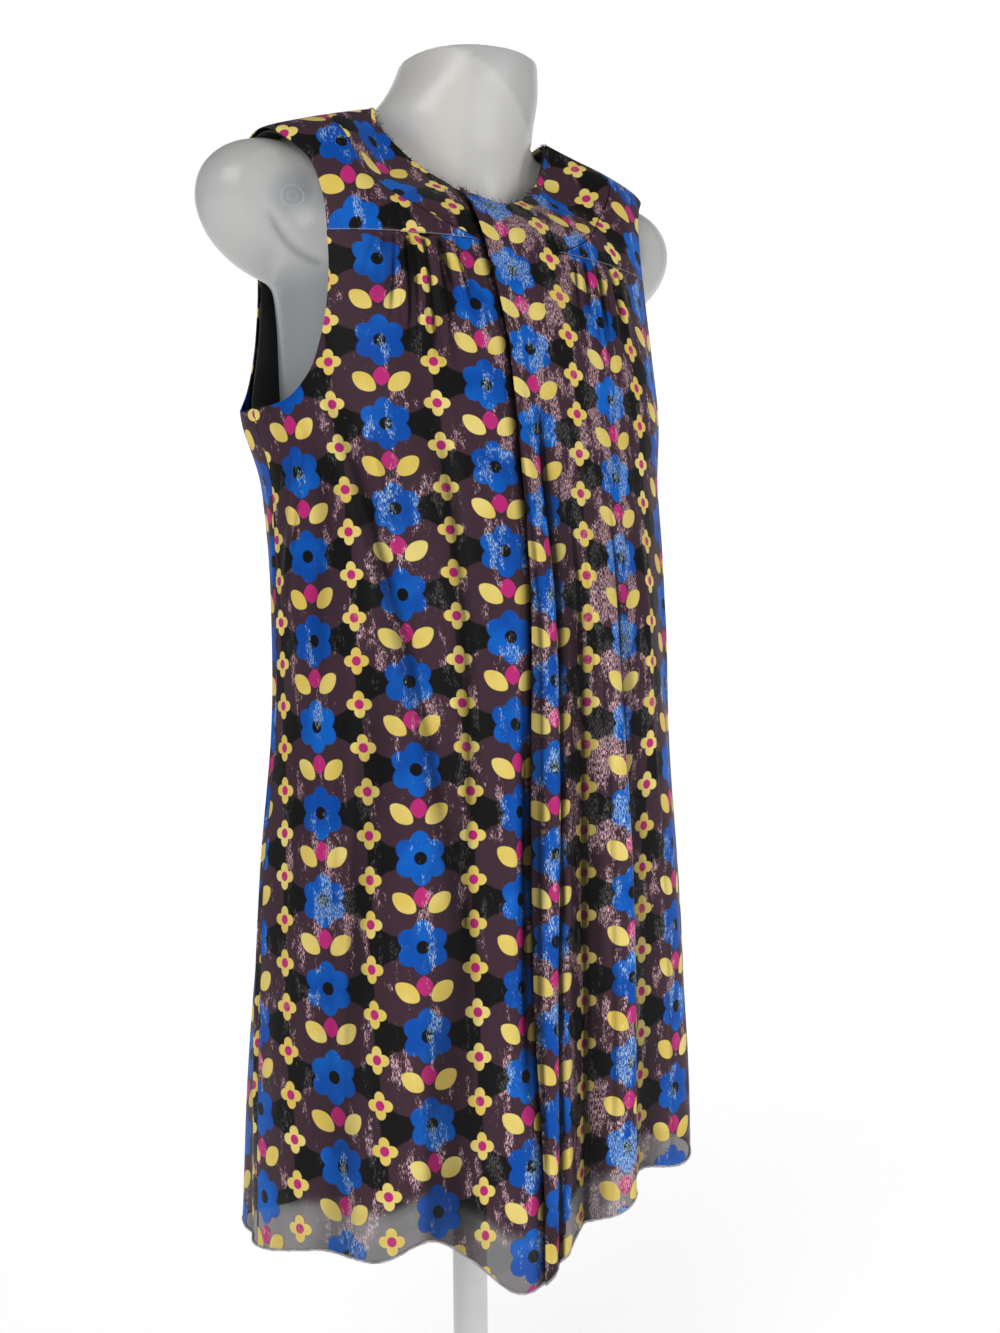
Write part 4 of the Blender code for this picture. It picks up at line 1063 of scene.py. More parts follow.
# ---------------------------------------------------------------- skirt patches
def edge_places(armhole, hem, top, skirt_rows):
    """Angles and drops up the outer edge of a piece: side seam, then armhole up to top."""
    up = np.linspace(hem, UNDERARM_DROP, skirt_rows + 1)
    angles, drops = spread(armhole["angle"], armhole["drop"], ARMHOLE_ROWS)
    drops[-1] = top
    angles = np.concatenate([np.full(len(up), 90.0), angles[1:]])
    return np.minimum(angles, 90.0 - SIDE_SEAM_ANGLE), np.concatenate([up, drops[1:]])


def centre_drops(hem, top, skirt_rows):
    """Drops of the same rows at the centre line, a little below the underarm's."""
    chest = UNDERARM_DROP + CHEST_SAG
    up = np.linspace(hem, chest, skirt_rows + 1)
    return np.concatenate([up, np.linspace(chest, top, ARMHOLE_ROWS + 1)[1:]])


def swing_hem(angle, drop, skirt_rows, swing=1.0):
    """Moves the hem row on to the waved hem, and the rows above it less and less."""
    share = swing * np.linspace(1.0, 0.0, skirt_rows + 1) ** 2
    fade = np.concatenate([share, np.zeros(len(drop) - len(share))])
    return drop + fade[:, None] * (hem_drop(angle[0]) - DRESS_LENGTH)[None, :]


def front_patch(side):
    """Places of a front below the yoke seam, with the centre panel's first on the wearer's left,
    and on the right as much as lies hidden under the panel's edge."""
    top = YOKE_DROP + SEAM_GAP / 2
    centre = centre_drops(DRESS_LENGTH, top, SKIRT_ROWS)[:, None]
    edge_angle, edge_drop = edge_places(ARMHOLE_FRONT, DRESS_LENGTH, top, SKIRT_ROWS)
    last = PANEL_COLUMNS if side > 0 else round(PANEL_COLUMNS * PLEAT_UNDERLAP)
    columns = np.arange(last + 1)[::side]
    panel_part = panel_angle(centre, columns[None, :] / PANEL_COLUMNS)
    share = np.linspace(0.0, 1.0, FRONT_COLUMNS + 1)[None, 1:]
    start = panel_part[:, -1:]
    side_part = start + (side * edge_angle[:, None] - start) * share
    angle = np.concatenate([panel_part, side_part], axis=1)
    side_drop = centre + (edge_drop[:, None] - centre) * share
    drop = np.concatenate([np.repeat(centre, last + 1, axis=1), side_drop], axis=1)
    return angle, swing_hem(angle, drop, SKIRT_ROWS)


def panel_top_patch():
    """The centre panel from the yoke seam up to the neckline."""
    share = np.linspace(0.0, 1.0, PANEL_COLUMNS + 1)[None, :]
    up = np.linspace(0.0, 1.0, PANEL_TOP_ROWS + 1)[1:, None]
    start = YOKE_DROP + SEAM_GAP / 2
    drop = start + (panel_top(share) - start) * up
    return panel_angle(drop, share), drop


def whole_patch(armhole, neck_drop, columns, skirt_rows, shorter, set_back):
    """Places of a piece cut whole, from side seam to side seam and from the hem over the
    shoulders to the neckline. Angles are from its own centre line."""
    hem = DRESS_LENGTH - shorter
    across = np.linspace(-1.0, 1.0, columns + 1)
    edge_angle, edge_drop = edge_places(armhole, hem, YOKE_DROP, skirt_rows)
    in_armhole = edge_drop < UNDERARM_DROP - SAME_DROP
    edge_angle = edge_angle - in_armhole * math.degrees(set_back / SHOULDER_HALF_WIDTH)
    centre = centre_drops(hem, YOKE_DROP, skirt_rows)[:, None]
    angle = edge_angle[:, None] * across[None, :]
    drop = centre + (edge_drop[:, None] - centre) * across[None, :] ** 2
    squareness = FRONT_NECK_SQUARENESS if armhole is ARMHOLE_FRONT else BACK_NECK_SQUARENESS
    return shoulder_rows(angle, drop, across, neck_drop + set_back, squareness, set_back)


def shoulder_rows(angle, drop, across, neck_drop, squareness, set_back):
    """Carries a whole piece on from the yoke level to the neckline and shoulder seams."""
    reach = np.abs(across)
    neck_half = NECK_HALF_WIDTH + set_back
    tip = SHOULDER_HALF_WIDTH - set_back
    way = np.minimum(reach / NECK_SHARE, 1.0)
    neckline = u_curve(np.linspace(0.0, 1.0, MANY), neck_half, neck_drop, squareness)
    neck_x, neck_edge = part_way(neckline, way)
    out = np.clip((reach - NECK_SHARE) / (1.0 - NECK_SHARE), 0.0, 1.0)
    out = np.where(out < SAME_SHARE, 0.0, out)
    end_x = neck_x + (tip - neck_half) * out
    end_drop = np.where(out > 0, ridge_drop(end_x), neck_edge)
    start_x = np.abs(level_point(DRESS_SECTIONS, angle[-1], drop[-1])[:, 0])
    climb = 1.0 - np.linspace(1.0, 0.0, SHOULDER_ROWS + 1)[1:, None] ** TURN_OVER
    more_drop = YOKE_DROP + (end_drop - YOKE_DROP)[None, :] * climb
    more_x = start_x[None, :] + (end_x - start_x)[None, :] * climb**2
    armhole_x = curve(ARMHOLE_SHOULDER, "drop", "x", more_drop[:, -1:]) - set_back
    armhole_x[-1] = tip
    more_x = more_x + (armhole_x - more_x[:, -1:]) * reach[None, :] ** 3
    more_angle = np.minimum(angle_at(more_x, more_drop), 90.0 - SHOULDER_SEAM_ANGLE)
    more_angle = more_angle * np.sign(across)[None, :]
    return np.concatenate([angle, more_angle]), np.concatenate([drop, more_drop])


def yoke_patch():
    """Places of the left yoke, between the yoke seam, the band, the shoulder and the armhole."""
    inner_x, inner_drop = band_seam()
    inner_x = inner_x + SEAM_SETBACK
    inner_x[0] += 2 * PANEL_SEAM_GAP
    inner_drop = np.minimum(inner_drop + SEAM_SETBACK, YOKE_DROP - SEAM_GAP / 2)
    seam = YOKE_DROP - SEAM_GAP / 2
    many_drops = np.linspace(seam, ridge_drop(SHOULDER_HALF_WIDTH), MANY)
    armhole = (curve(ARMHOLE_SHOULDER, "drop", "x", many_drops), many_drops)
    outer_x, outer_drop = part_way(armhole, BAND_SHARES)
    outer_x[-1] = SHOULDER_HALF_WIDTH
    across = np.linspace(0.0, 1.0, YOKE_COLUMNS + 1)[None, :]
    x = inner_x[:, None] + (outer_x - inner_x)[:, None] * across
    drop = inner_drop[:, None] + (outer_drop - inner_drop)[:, None] * across
    drop[-1] = ridge_drop(x[-1])
    drop = np.maximum(drop, ridge_drop(x))
    return np.minimum(angle_at(x, drop), 90.0 - SHOULDER_SEAM_ANGLE), drop


def band_patch(side):
    """Places of the shaped band beside the neckline. On the wearer's right a first row runs
    on under the panel's edge."""
    outer_x, outer_drop = band_seam()
    outer_x = outer_x - SEAM_SETBACK
    outer_drop = outer_drop - SEAM_SETBACK
    edge = float(curve(PANEL_EDGE, "drop", "half_width", float(panel_top(1.0))))
    turn = np.linspace(turn_at(edge, NECK_HALF_WIDTH, FRONT_NECK_SQUARENESS), 1.0, MANY)
    neckline = u_curve(turn, NECK_HALF_WIDTH, FRONT_NECK_DROP, FRONT_NECK_SQUARENESS)
    inner_x, inner_drop = part_way(neckline, BAND_SHARES)
    across = np.linspace(0.0, 1.0, BAND_COLUMNS + 1)[None, :]
    x = inner_x[:, None] + (outer_x - inner_x)[:, None] * across
    drop = inner_drop[:, None] + (outer_drop - inner_drop)[:, None] * across
    drop[-1] = ridge_drop(x[-1])
    drop = np.maximum(drop, ridge_drop(x))
    x[0] = curve(PANEL_EDGE, "drop", "half_width", drop[0]) + PANEL_SEAM_GAP
    if side < 0:
        x = np.concatenate([x[:1] - BAND_TUCK, x])
        drop = np.concatenate([drop[:1], drop])
    return np.minimum(angle_at(x, drop), 90.0 - SHOULDER_SEAM_ANGLE), drop


# ---------------------------------------------------------------- shader maths
class Wire:
    """A socket in a material that Python arithmetic works on, adding Math nodes as it goes."""

    def __init__(self, finish, socket):
        self.finish = finish
        self.socket = socket

    def maths(self, operation, *terms):
        return self.finish.node("ShaderNodeMath", {"operation": operation}, *terms)

    def __add__(self, other):
        return self.maths("ADD", self, other)

    __radd__ = __add__

    def __sub__(self, other):
        return self.maths("SUBTRACT", self, other)

    def __rsub__(self, other):
        return self.maths("SUBTRACT", other, self)

    def __mul__(self, other):
        return self.maths("MULTIPLY", self, other)

    __rmul__ = __mul__

    def __truediv__(self, other):
        return self.maths("DIVIDE", self, other)

    def __pow__(self, other):
        return self.maths("POWER", self, other)

    def __abs__(self):
        return self.maths("ABSOLUTE", self)

    def floor(self):
        return self.maths("FLOOR", self)

    def fraction(self):
        return self.maths("FRACT", self)

    def cosine(self):
        return self.maths("COSINE", self)

    def sine(self):
        return self.maths("SINE", self)

    def least(self, other):
        return self.maths("MINIMUM", self, other)

    def most(self, other):
        return self.maths("MAXIMUM", self, other)

    def clamped(self):
        return self.least(1.0).most(0.0)

    def step(self, low, high):
        """0 up to low, 1 from high on, and smooth between them."""
        settings = {"interpolation_type": "SMOOTHSTEP"}
        return self.finish.node("ShaderNodeMapRange", settings, self, low, high, 0.0, 1.0)


# Sockets of a Mix node that mixes colours, by their numbers.
MIX_SHARE = 0
MIX_FIRST = 6
MIX_SECOND = 7
MIX_RESULT = 2


class Finish:
    """One material, and the nodes that it is made of."""

    def __init__(self, name):
        self.material = bpy.data.materials.new(name)
        self.material.use_nodes = True
        self.tree = self.material.node_tree
        self.tree.nodes.clear()

    def node(self, kind, settings=None, *values, out=0, sockets=None):
        """A node of a type, with its settings made first, then the values or links of its
        sockets, in their order or by name or number. Gives the output asked for, if any."""
        node = self.tree.nodes.new(kind)
        for key, value in (settings or {}).items():
            setattr(node, key, value)
        for key, value in [*enumerate(values), *(sockets or {}).items()]:
            self.set_socket(node.inputs[key], value)
        return Wire(self, node.outputs[out]) if node.outputs else None

    def set_socket(self, socket, value):
        if isinstance(value, Wire):
            self.tree.links.new(value.socket, socket)
        elif socket.type == "RGBA":
            socket.default_value = (*value, 1.0)
        else:
            socket.default_value = value

    def mixed(self, share, first, second):
        """A colour between two."""
        sockets = {MIX_SHARE: share, MIX_FIRST: first, MIX_SECOND: second}
        return self.node("ShaderNodeMix", {"data_type": "RGBA"}, out=MIX_RESULT, sockets=sockets)

    def attribute(self, name):
        """A number that goes with each point of the mesh."""
        return self.node("ShaderNodeAttribute", {"attribute_name": name}, out="Fac")

    def places(self):
        """The vector of a place on the object, in its own axes."""
        return self.node("ShaderNodeTexCoord", out="Object")

    def axes(self, vector):
        """The three numbers of a vector."""
        split = self.node("ShaderNodeSeparateXYZ", None, vector)
        return [Wire(self, output) for output in split.socket.node.outputs]

    def noise(self, vector, scale=1.0, detail=2.0, roughness=0.5, stretch=(1.0, 1.0, 1.0)):
        """Cloudy numbers around a half, on a vector stretched along its axes."""
        placed = self.node("ShaderNodeMapping", None, vector, sockets={"Scale": stretch})
        sockets = {"Scale": scale, "Detail": detail, "Roughness": roughness}
        return self.node("ShaderNodeTexNoise", None, placed, sockets=sockets)

    def surface(self, relief, strength, distance, **values):
        """The material, made of a shader over a relief of a strength and a height."""
        sockets = {"Strength": strength, "Distance": distance, "Height": relief}
        normal = self.node("ShaderNodeBump", sockets=sockets)
        sockets = {key.replace("_", " "): value for key, value in values.items()}
        shader = self.node("ShaderNodeBsdfPrincipled", sockets={**sockets, "Normal": normal})
        self.node("ShaderNodeOutputMaterial", None, shader)
        return self.material


# ---------------------------------------------------------------- the print
def blob(x, y, half_width, half_height, squareness, sharpness):
    """1 inside a rounded shape at the middle, 0 outside."""
    inside = 1.0 - (abs(x) / half_width) ** squareness - (abs(y) / half_height) ** squareness
    return (inside * sharpness + 0.5).clamped()


def turned(x, y, angle):
    """The same place, in axes turned by an angle."""
    cosine, sine = math.cos(angle), math.sin(angle)
    return x * cosine + y * sine, y * cosine - x * sine


def petals(finish, x, y, radius, count, waist):
    """1 inside a flower of round petals that meet at a share of its radius, 0 outside."""
    away = (x * x + y * y) ** 0.5
    turn = finish.node("ShaderNodeMath", {"operation": "ARCTAN2"}, x, y)
    edge = abs((turn * (count / 2)).cosine()) * (1.0 - waist) + waist
    return ((1.0 - away / (edge * radius)) * PETAL_SHARPNESS + 0.5).clamped()


def print_masks(finish, across, up):
    """Where each colour of the flower and leaf print lies, in columns dropped by half a repeat."""
    column = (across / REPEAT_WIDTH).floor()
    half_drop = (column * 0.5).fraction()
    x = (across / REPEAT_WIDTH - column - 0.5) * REPEAT_WIDTH
    y = ((up / REPEAT_HEIGHT + half_drop).fraction() - 0.5) * REPEAT_HEIGHT
    between = ((up / REPEAT_HEIGHT + half_drop + 0.5).fraction() - 0.5) * REPEAT_HEIGHT
    flower = petals(finish, x, y, FLOWER_RADIUS, PETALS, PETAL_WAIST)
    eye = blob(x, y, FLOWER_EYE, FLOWER_EYE, *EYE_SHAPE)
    leaf_x, leaf_y = turned(abs(x) - LEAF_OUT, between, LEAF_TILT)
    leaves = blob(leaf_x, leaf_y, LEAF_LENGTH, LEAF_WIDTH, *LEAF_SHAPE)
    bud = blob(x, between - BUD_RISE, BUD_WIDTH, BUD_HEIGHT, *BUD_SHAPE)
    beside_x = abs(x) - REPEAT_WIDTH / 2
    beside_y = abs(y) - REPEAT_HEIGHT / 4
    blossom = petals(finish, beside_x, beside_y, BLOSSOM_RADIUS, BLOSSOM_PETALS, BLOSSOM_WAIST)
    centre = blob(beside_x, beside_y, BLOSSOM_EYE, BLOSSOM_EYE, *BLOSSOM_EYE_SHAPE)
    patch = blob(x, between, PATCH_WIDTH, PATCH_HEIGHT, *PATCH_SHAPE)
    return {
        "flower": flower,
        "eye": eye,
        "leaves": leaves.most(blossom),
        "bud": bud.most(centre),
        "patch": patch,
    }


def print_colour(finish, masks, cloud, colours):
    """The colour of the print, under the flecks and the seams."""
    ground = finish.mixed(masks["patch"], colours.ground, colours.plum)
    flower = finish.mixed(cloud.step(*COBALT_STEP), colours.cobalt, colours.cobalt_light)
    leaf = finish.mixed(cloud.step(*YELLOW_STEP), colours.yellow, colours.yellow_light)
    colour = finish.mixed(masks["flower"], ground, flower)
    colour = finish.mixed(masks["eye"], colour, colours.ground)
    colour = finish.mixed(masks["leaves"], colour, leaf)
    return finish.mixed(masks["bud"], colour, colours.magenta)


def fleck_cover(finish, masks, vector):
    """1 where a metallic fleck shows."""
    streaks = finish.noise(vector, **STREAKS)
    clusters = finish.noise(vector, **CLUSTERS)
    regions = finish.noise(vector, **REGIONS)
    over_plum = masks["patch"] * (1.0 - FLECKS_ON_GROUND) + FLECKS_ON_GROUND
    over_plum = over_plum.most(masks["flower"] * FLECKS_ON_FLOWERS)
    # More flecks about the middle of the front: painted glints where the light falls.
    middle = finish.attribute("middle") * MIDDLE_GLINT_WEIGHT
    crowd = (clusters + (regions - 0.5) * REGION_WEIGHT + middle).step(*CLUSTER_STEP)
    return (streaks + crowd * CROWD_WEIGHT).step(*FLECK_STEP) * crowd * over_plum


def fleck_colour(finish, masks, colours):
    """The colour of a fleck, by what it lies over."""
    shine = finish.mixed(masks["patch"], colours.fleck, colours.fleck_on_plum)
    shine = finish.mixed(masks["flower"], shine, colours.fleck_on_cobalt)
    return finish.mixed(masks["leaves"], shine, colours.yellow_light)


# ---------------------------------------------------------------- finishes
def tinted(colour, gain, lift=0.0):
    """A colour with each of its numbers multiplied and lifted."""
    return tuple(min(1.0, value * gain + lift) for value in colour)


def printed_cloth(name, colours):
    """Satin with a flower and leaf print and metallic flecks, see-through past the lining, with
    painted shade in its troughs and seams and a painted highlight along the yoke seam.
    """
    finish = Finish(name)
    vector = finish.node("ShaderNodeUVMap", {"uv_map": "cloth_lengths"})
    across, up, _ = finish.axes(vector)
    masks = print_masks(finish, across, up)
    cloud = finish.noise(vector, **CLOUD)
    fleck = fleck_cover(finish, masks, vector)
    shine = fleck_colour(finish, masks, colours)
    colour = print_colour(finish, masks, cloud, colours)
    colour = finish.mixed(fleck * FLECK_COVER, colour, shine)

    # Painted highlight: a thin pale line just past the yoke seam, where the turned edge catches light.
    turned_up = finish.attribute("yoke_seam")
    seam_highlight = turned_up.step(*SEAM_EDGE) * (1.0 - turned_up.step(*SEAM_FAR))
    colour = finish.mixed(seam_highlight * SEAM_HIGHLIGHT, colour, colours.edge)
    # Painted shade: seam grooves, troughs of the folds and the shadow beside the panel's pressed edge.
    seam_groove_shade = 1.0 - finish.attribute("seam").step(0.0, SEAM_EDGE[0])
    painted_shade = finish.attribute("shade").most(seam_groove_shade * SEAM_DARK)
    colour = finish.mixed(painted_shade * TROUGH_DARKENS, colour, (0.0, 0.0, 0.0))

    weave = (across * WEAVE).sine() * (up * WEAVE).sine()
    relief = weave * CLOTH_RELIEF["weave"] + fleck * CLOTH_RELIEF["fleck"]
    relief = relief + cloud * CLOTH_RELIEF["cloud"] + seam_highlight * CLOTH_RELIEF["seam"]
    print_holds = masks["flower"].most(masks["leaves"]).most(masks["bud"])
    clear = finish.attribute("past_lining") * (SHEER_CLEAR - print_holds * SHEER_PRINT)
    clear = clear * (1.0 - painted_shade * SHEER_TROUGH)
    return finish.surface(
        relief,
        strength=0.22,
        distance=0.0004,
        Base_Color=colour,
        Roughness=CLOTH_ROUGHNESS - fleck * FLECK_POLISH,
        Metallic=fleck * FLECK_METALLIC,
        Specular_IOR_Level=CLOTH_SPECULAR,
        Alpha=1.0 - clear.clamped(),
    )


def plain_cloth(name, colour):
    """Plain woven cloth with a fine weave and faint slubs."""
    finish = Finish(name)
    places = finish.places()
    slubs = finish.noise(places, **SLUBS)
    weave = finish.noise(places, **PLAIN_WEAVE)
    return finish.surface(
        weave * PLAIN_RELIEF["weave"] + slubs * PLAIN_RELIEF["slubs"],
        strength=0.25,
        distance=0.0005,
        Base_Color=finish.mixed(slubs.step(*SLUB_STEP), colour, tinted(colour, *SLUB_PALER)),
        Roughness=slubs * SLUB_ROUGHENS + PLAIN_ROUGHNESS,
        Sheen_Weight=PLAIN_SHEEN,
    )


def cap_lines(finish, places):
    """1 on the ring and on the dimple of the arm socket, and on the crease below it."""
    x, y, z = finish.axes(places)
    out, drop = abs(x), NECK_POINT_HEIGHT - z
    front = 1.0 - y.step(*MARKS_REACH)
    away = ((out - SOCKET[0]) ** 2.0 + (drop - SOCKET[1]) ** 2.0) ** 0.5
    ring = (1.0 - abs(away - SOCKET_RADIUS).step(0.0, SOCKET_LINE)) * front
    dimple = (1.0 - abs(away - SOCKET_DIMPLE).step(0.0, SOCKET_LINE)) * front
    across = CAP_CREASE_END[0] - CAP_CREASE_START[0]
    down = CAP_CREASE_END[1] - CAP_CREASE_START[1]
    square = across * across + down * down
    from_start = out - CAP_CREASE_START[0], drop - CAP_CREASE_START[1]
    share = (from_start[0] * (across / square) + from_start[1] * (down / square)).clamped()
    aside = ((from_start[0] - share * across) ** 2.0 + (from_start[1] - share * down) ** 2.0) ** 0.5
    crease = (1.0 - aside.step(0.0, CAP_CREASE_LINE)) * share.step(*CAP_CREASE_FADE) * front
    return ring, dimple, crease


def form_shell(name, colour, shaded):
    """Moulded plastic of the form: a satin gloss, faint mould ripples and a few scuffs, mixed to
    its shaded colour by the shade attribute, which is painted shade.
    """
    finish = Finish(name)
    places = finish.places()
    ripples = finish.noise(places, **RIPPLES)
    grain = finish.noise(places, **GRAIN)
    scuffs = finish.noise(places, **SCUFFS)
    ring, dimple, crease = cap_lines(finish, places)
    cooler = tuple(value * share for value, share in zip(colour, RIPPLE_TONE))
    tone = finish.mixed(ripples.step(*RIPPLE_STEP), colour, cooler)
    tone = finish.mixed(scuffs.step(*SCUFF_STEP) * SCUFF_SHOWS, tone, SCUFF_TONE)
    # Painted shade of the form, and the caps' darker tone, from the shade attribute.
    tone = finish.mixed(finish.attribute("shade"), tone, shaded)
    # The dark line along each cap's crease is painted shade.
    tone = finish.mixed(crease * CAP_CREASE_SHADE_SHOWS, tone, tinted(shaded, CAP_CREASE_SHADE_TONE))
    tone = finish.mixed(ring * RING_SHOWS + dimple * DIMPLE_SHOWS, tone, SOCKET_TONE)
    relief = ripples + grain * FORM_RELIEF["grain"] + ring * FORM_RELIEF["ring"]
    relief = relief + dimple * FORM_RELIEF["dimple"] - crease * FORM_RELIEF["crease"]
    dull = scuffs.step(*DULL_STEP) * SCUFF_ROUGHENS + grain * GRAIN_ROUGHENS
    return finish.surface(
        relief,
        strength=0.10,
        distance=0.002,
        Base_Color=tone,
        Roughness=FORM_ROUGHNESS + dull,
        Coat_Weight=FORM_COAT,
        Coat_Roughness=FORM_COAT_ROUGHNESS,
    )


def painted_metal(name, colour, roughness):
    """Powder-coated steel with a fine orange peel and a little dust."""
    finish = Finish(name)
    places = finish.places()
    peel = finish.noise(places, **PEEL)
    dust = finish.noise(places, **DUST)
    dusty = dust.step(*DUST_STEP) * DUST_SHOWS
    return finish.surface(
        peel,
        strength=0.12,
        distance=0.0006,
        Base_Color=finish.mixed(dusty, colour, tinted(colour, DUST_TONE)),
        Roughness=roughness + dust * DUST_ROUGHENS + peel * PEEL_ROUGHENS,
    )


def studio_floor(name, colour, glow):
    """Seamless pale paper, lit from behind a little."""
    finish = Finish(name)
    fibres = finish.noise(finish.places(), **FIBRES)
    return finish.surface(
        fibres,
        strength=0.05,
        distance=0.001,
        Base_Color=finish.mixed(fibres, colour, tinted(colour, PAPER_TONE)),
        Roughness=fibres * FIBRE_ROUGHENS + PAPER_ROUGHNESS,
        Emission_Color=(1.0, 1.0, 1.0),
        Emission_Strength=glow,
    )


# ---------------------------------------------------------------- properties
def colour_property(name, description, default):
    """A colour that can be changed."""
    return FloatVectorProperty(
        name=name,
        description=description,
        default=default,
        subtype="COLOR",
        size=3,
        min=0.0,
        max=1.0,
    )


def light_property(name, description, watts):
    """The power of a light."""
    return FloatProperty(name=name, description=description, default=watts, min=0.0, unit="POWER")


class DRESS_PG_cloth(bpy.types.PropertyGroup):
    """Colours of the printed cloth, its lining and its thread."""

    ground: colour_property("Ground", "Near-black ground of the print", (0.0058, 0.0056, 0.0060))
    plum: colour_property("Plum", "Plum patches of the print", (0.058, 0.027, 0.041))
    cobalt: colour_property("Cobalt", "Flowers of the print", (0.001, 0.078, 0.430))
    cobalt_light: colour_property("Light cobalt", "Cobalt where the satin shines", (0.003, 0.140, 0.620))
    yellow: colour_property("Yellow", "Leaves of the print", (0.830, 0.610, 0.120))
    yellow_light: colour_property("Light yellow", "Paler leaves", (0.930, 0.760, 0.240))
    magenta: colour_property("Magenta", "Buds of the print", (0.560, 0.025, 0.200))
    fleck: colour_property("Fleck", "Metallic thread on the ground", (0.420, 0.380, 0.370))
    fleck_on_plum: colour_property("Fleck on plum", "Metallic thread on plum", (0.950, 0.600, 0.640))
    fleck_on_cobalt: colour_property("Fleck on blue", "Metallic thread on cobalt", (0.560, 0.800, 1.000))
    lining: colour_property("Lining", "Plain lining", (0.010, 0.010, 0.012))
    # The edge colour is the rolled hem's thread, and also the painted highlight along the yoke seam.
    edge: colour_property("Edges", "Rolled hem and turned seam edge", (0.330, 0.310, 0.330))


class DRESS_PG_form(bpy.types.PropertyGroup):
    """Colours of the form and stand, and how smoothly the form's parts run together."""

    shell: colour_property("Shell", "Plastic of the form", (0.700, 0.685, 0.640))
    shaded: colour_property("Shaded shell", "Plastic of the form in shade", (0.330, 0.350, 0.370))
    metal: colour_property("Metal", "Paint of the stand", (0.780, 0.780, 0.780))
    voxel: FloatProperty(
        name="Fineness",
        description="Mesh size of the form",
        default=FORM_VOXEL,
        min=0.002,
        max=0.01,
        unit="LENGTH",
    )


class DRESS_PG_stage(bpy.types.PropertyGroup):
    """The floor, the lights and the camera."""

    paper: colour_property("Paper", "Floor and backdrop", (0.900, 0.900, 0.900))
    key: light_property("Key light", "Power of the key light", 24.0)
    fill: light_property("Fill light", "Power of the fill light", 16.0)
    sky: FloatProperty(
        name="Surround", description="Brightness all round", default=0.26, min=0.0, max=3.0
    )
    glow: FloatProperty(
        name="Paper glow", description="Light given off by the paper", default=0.56, min=0.0, max=2.0
    )


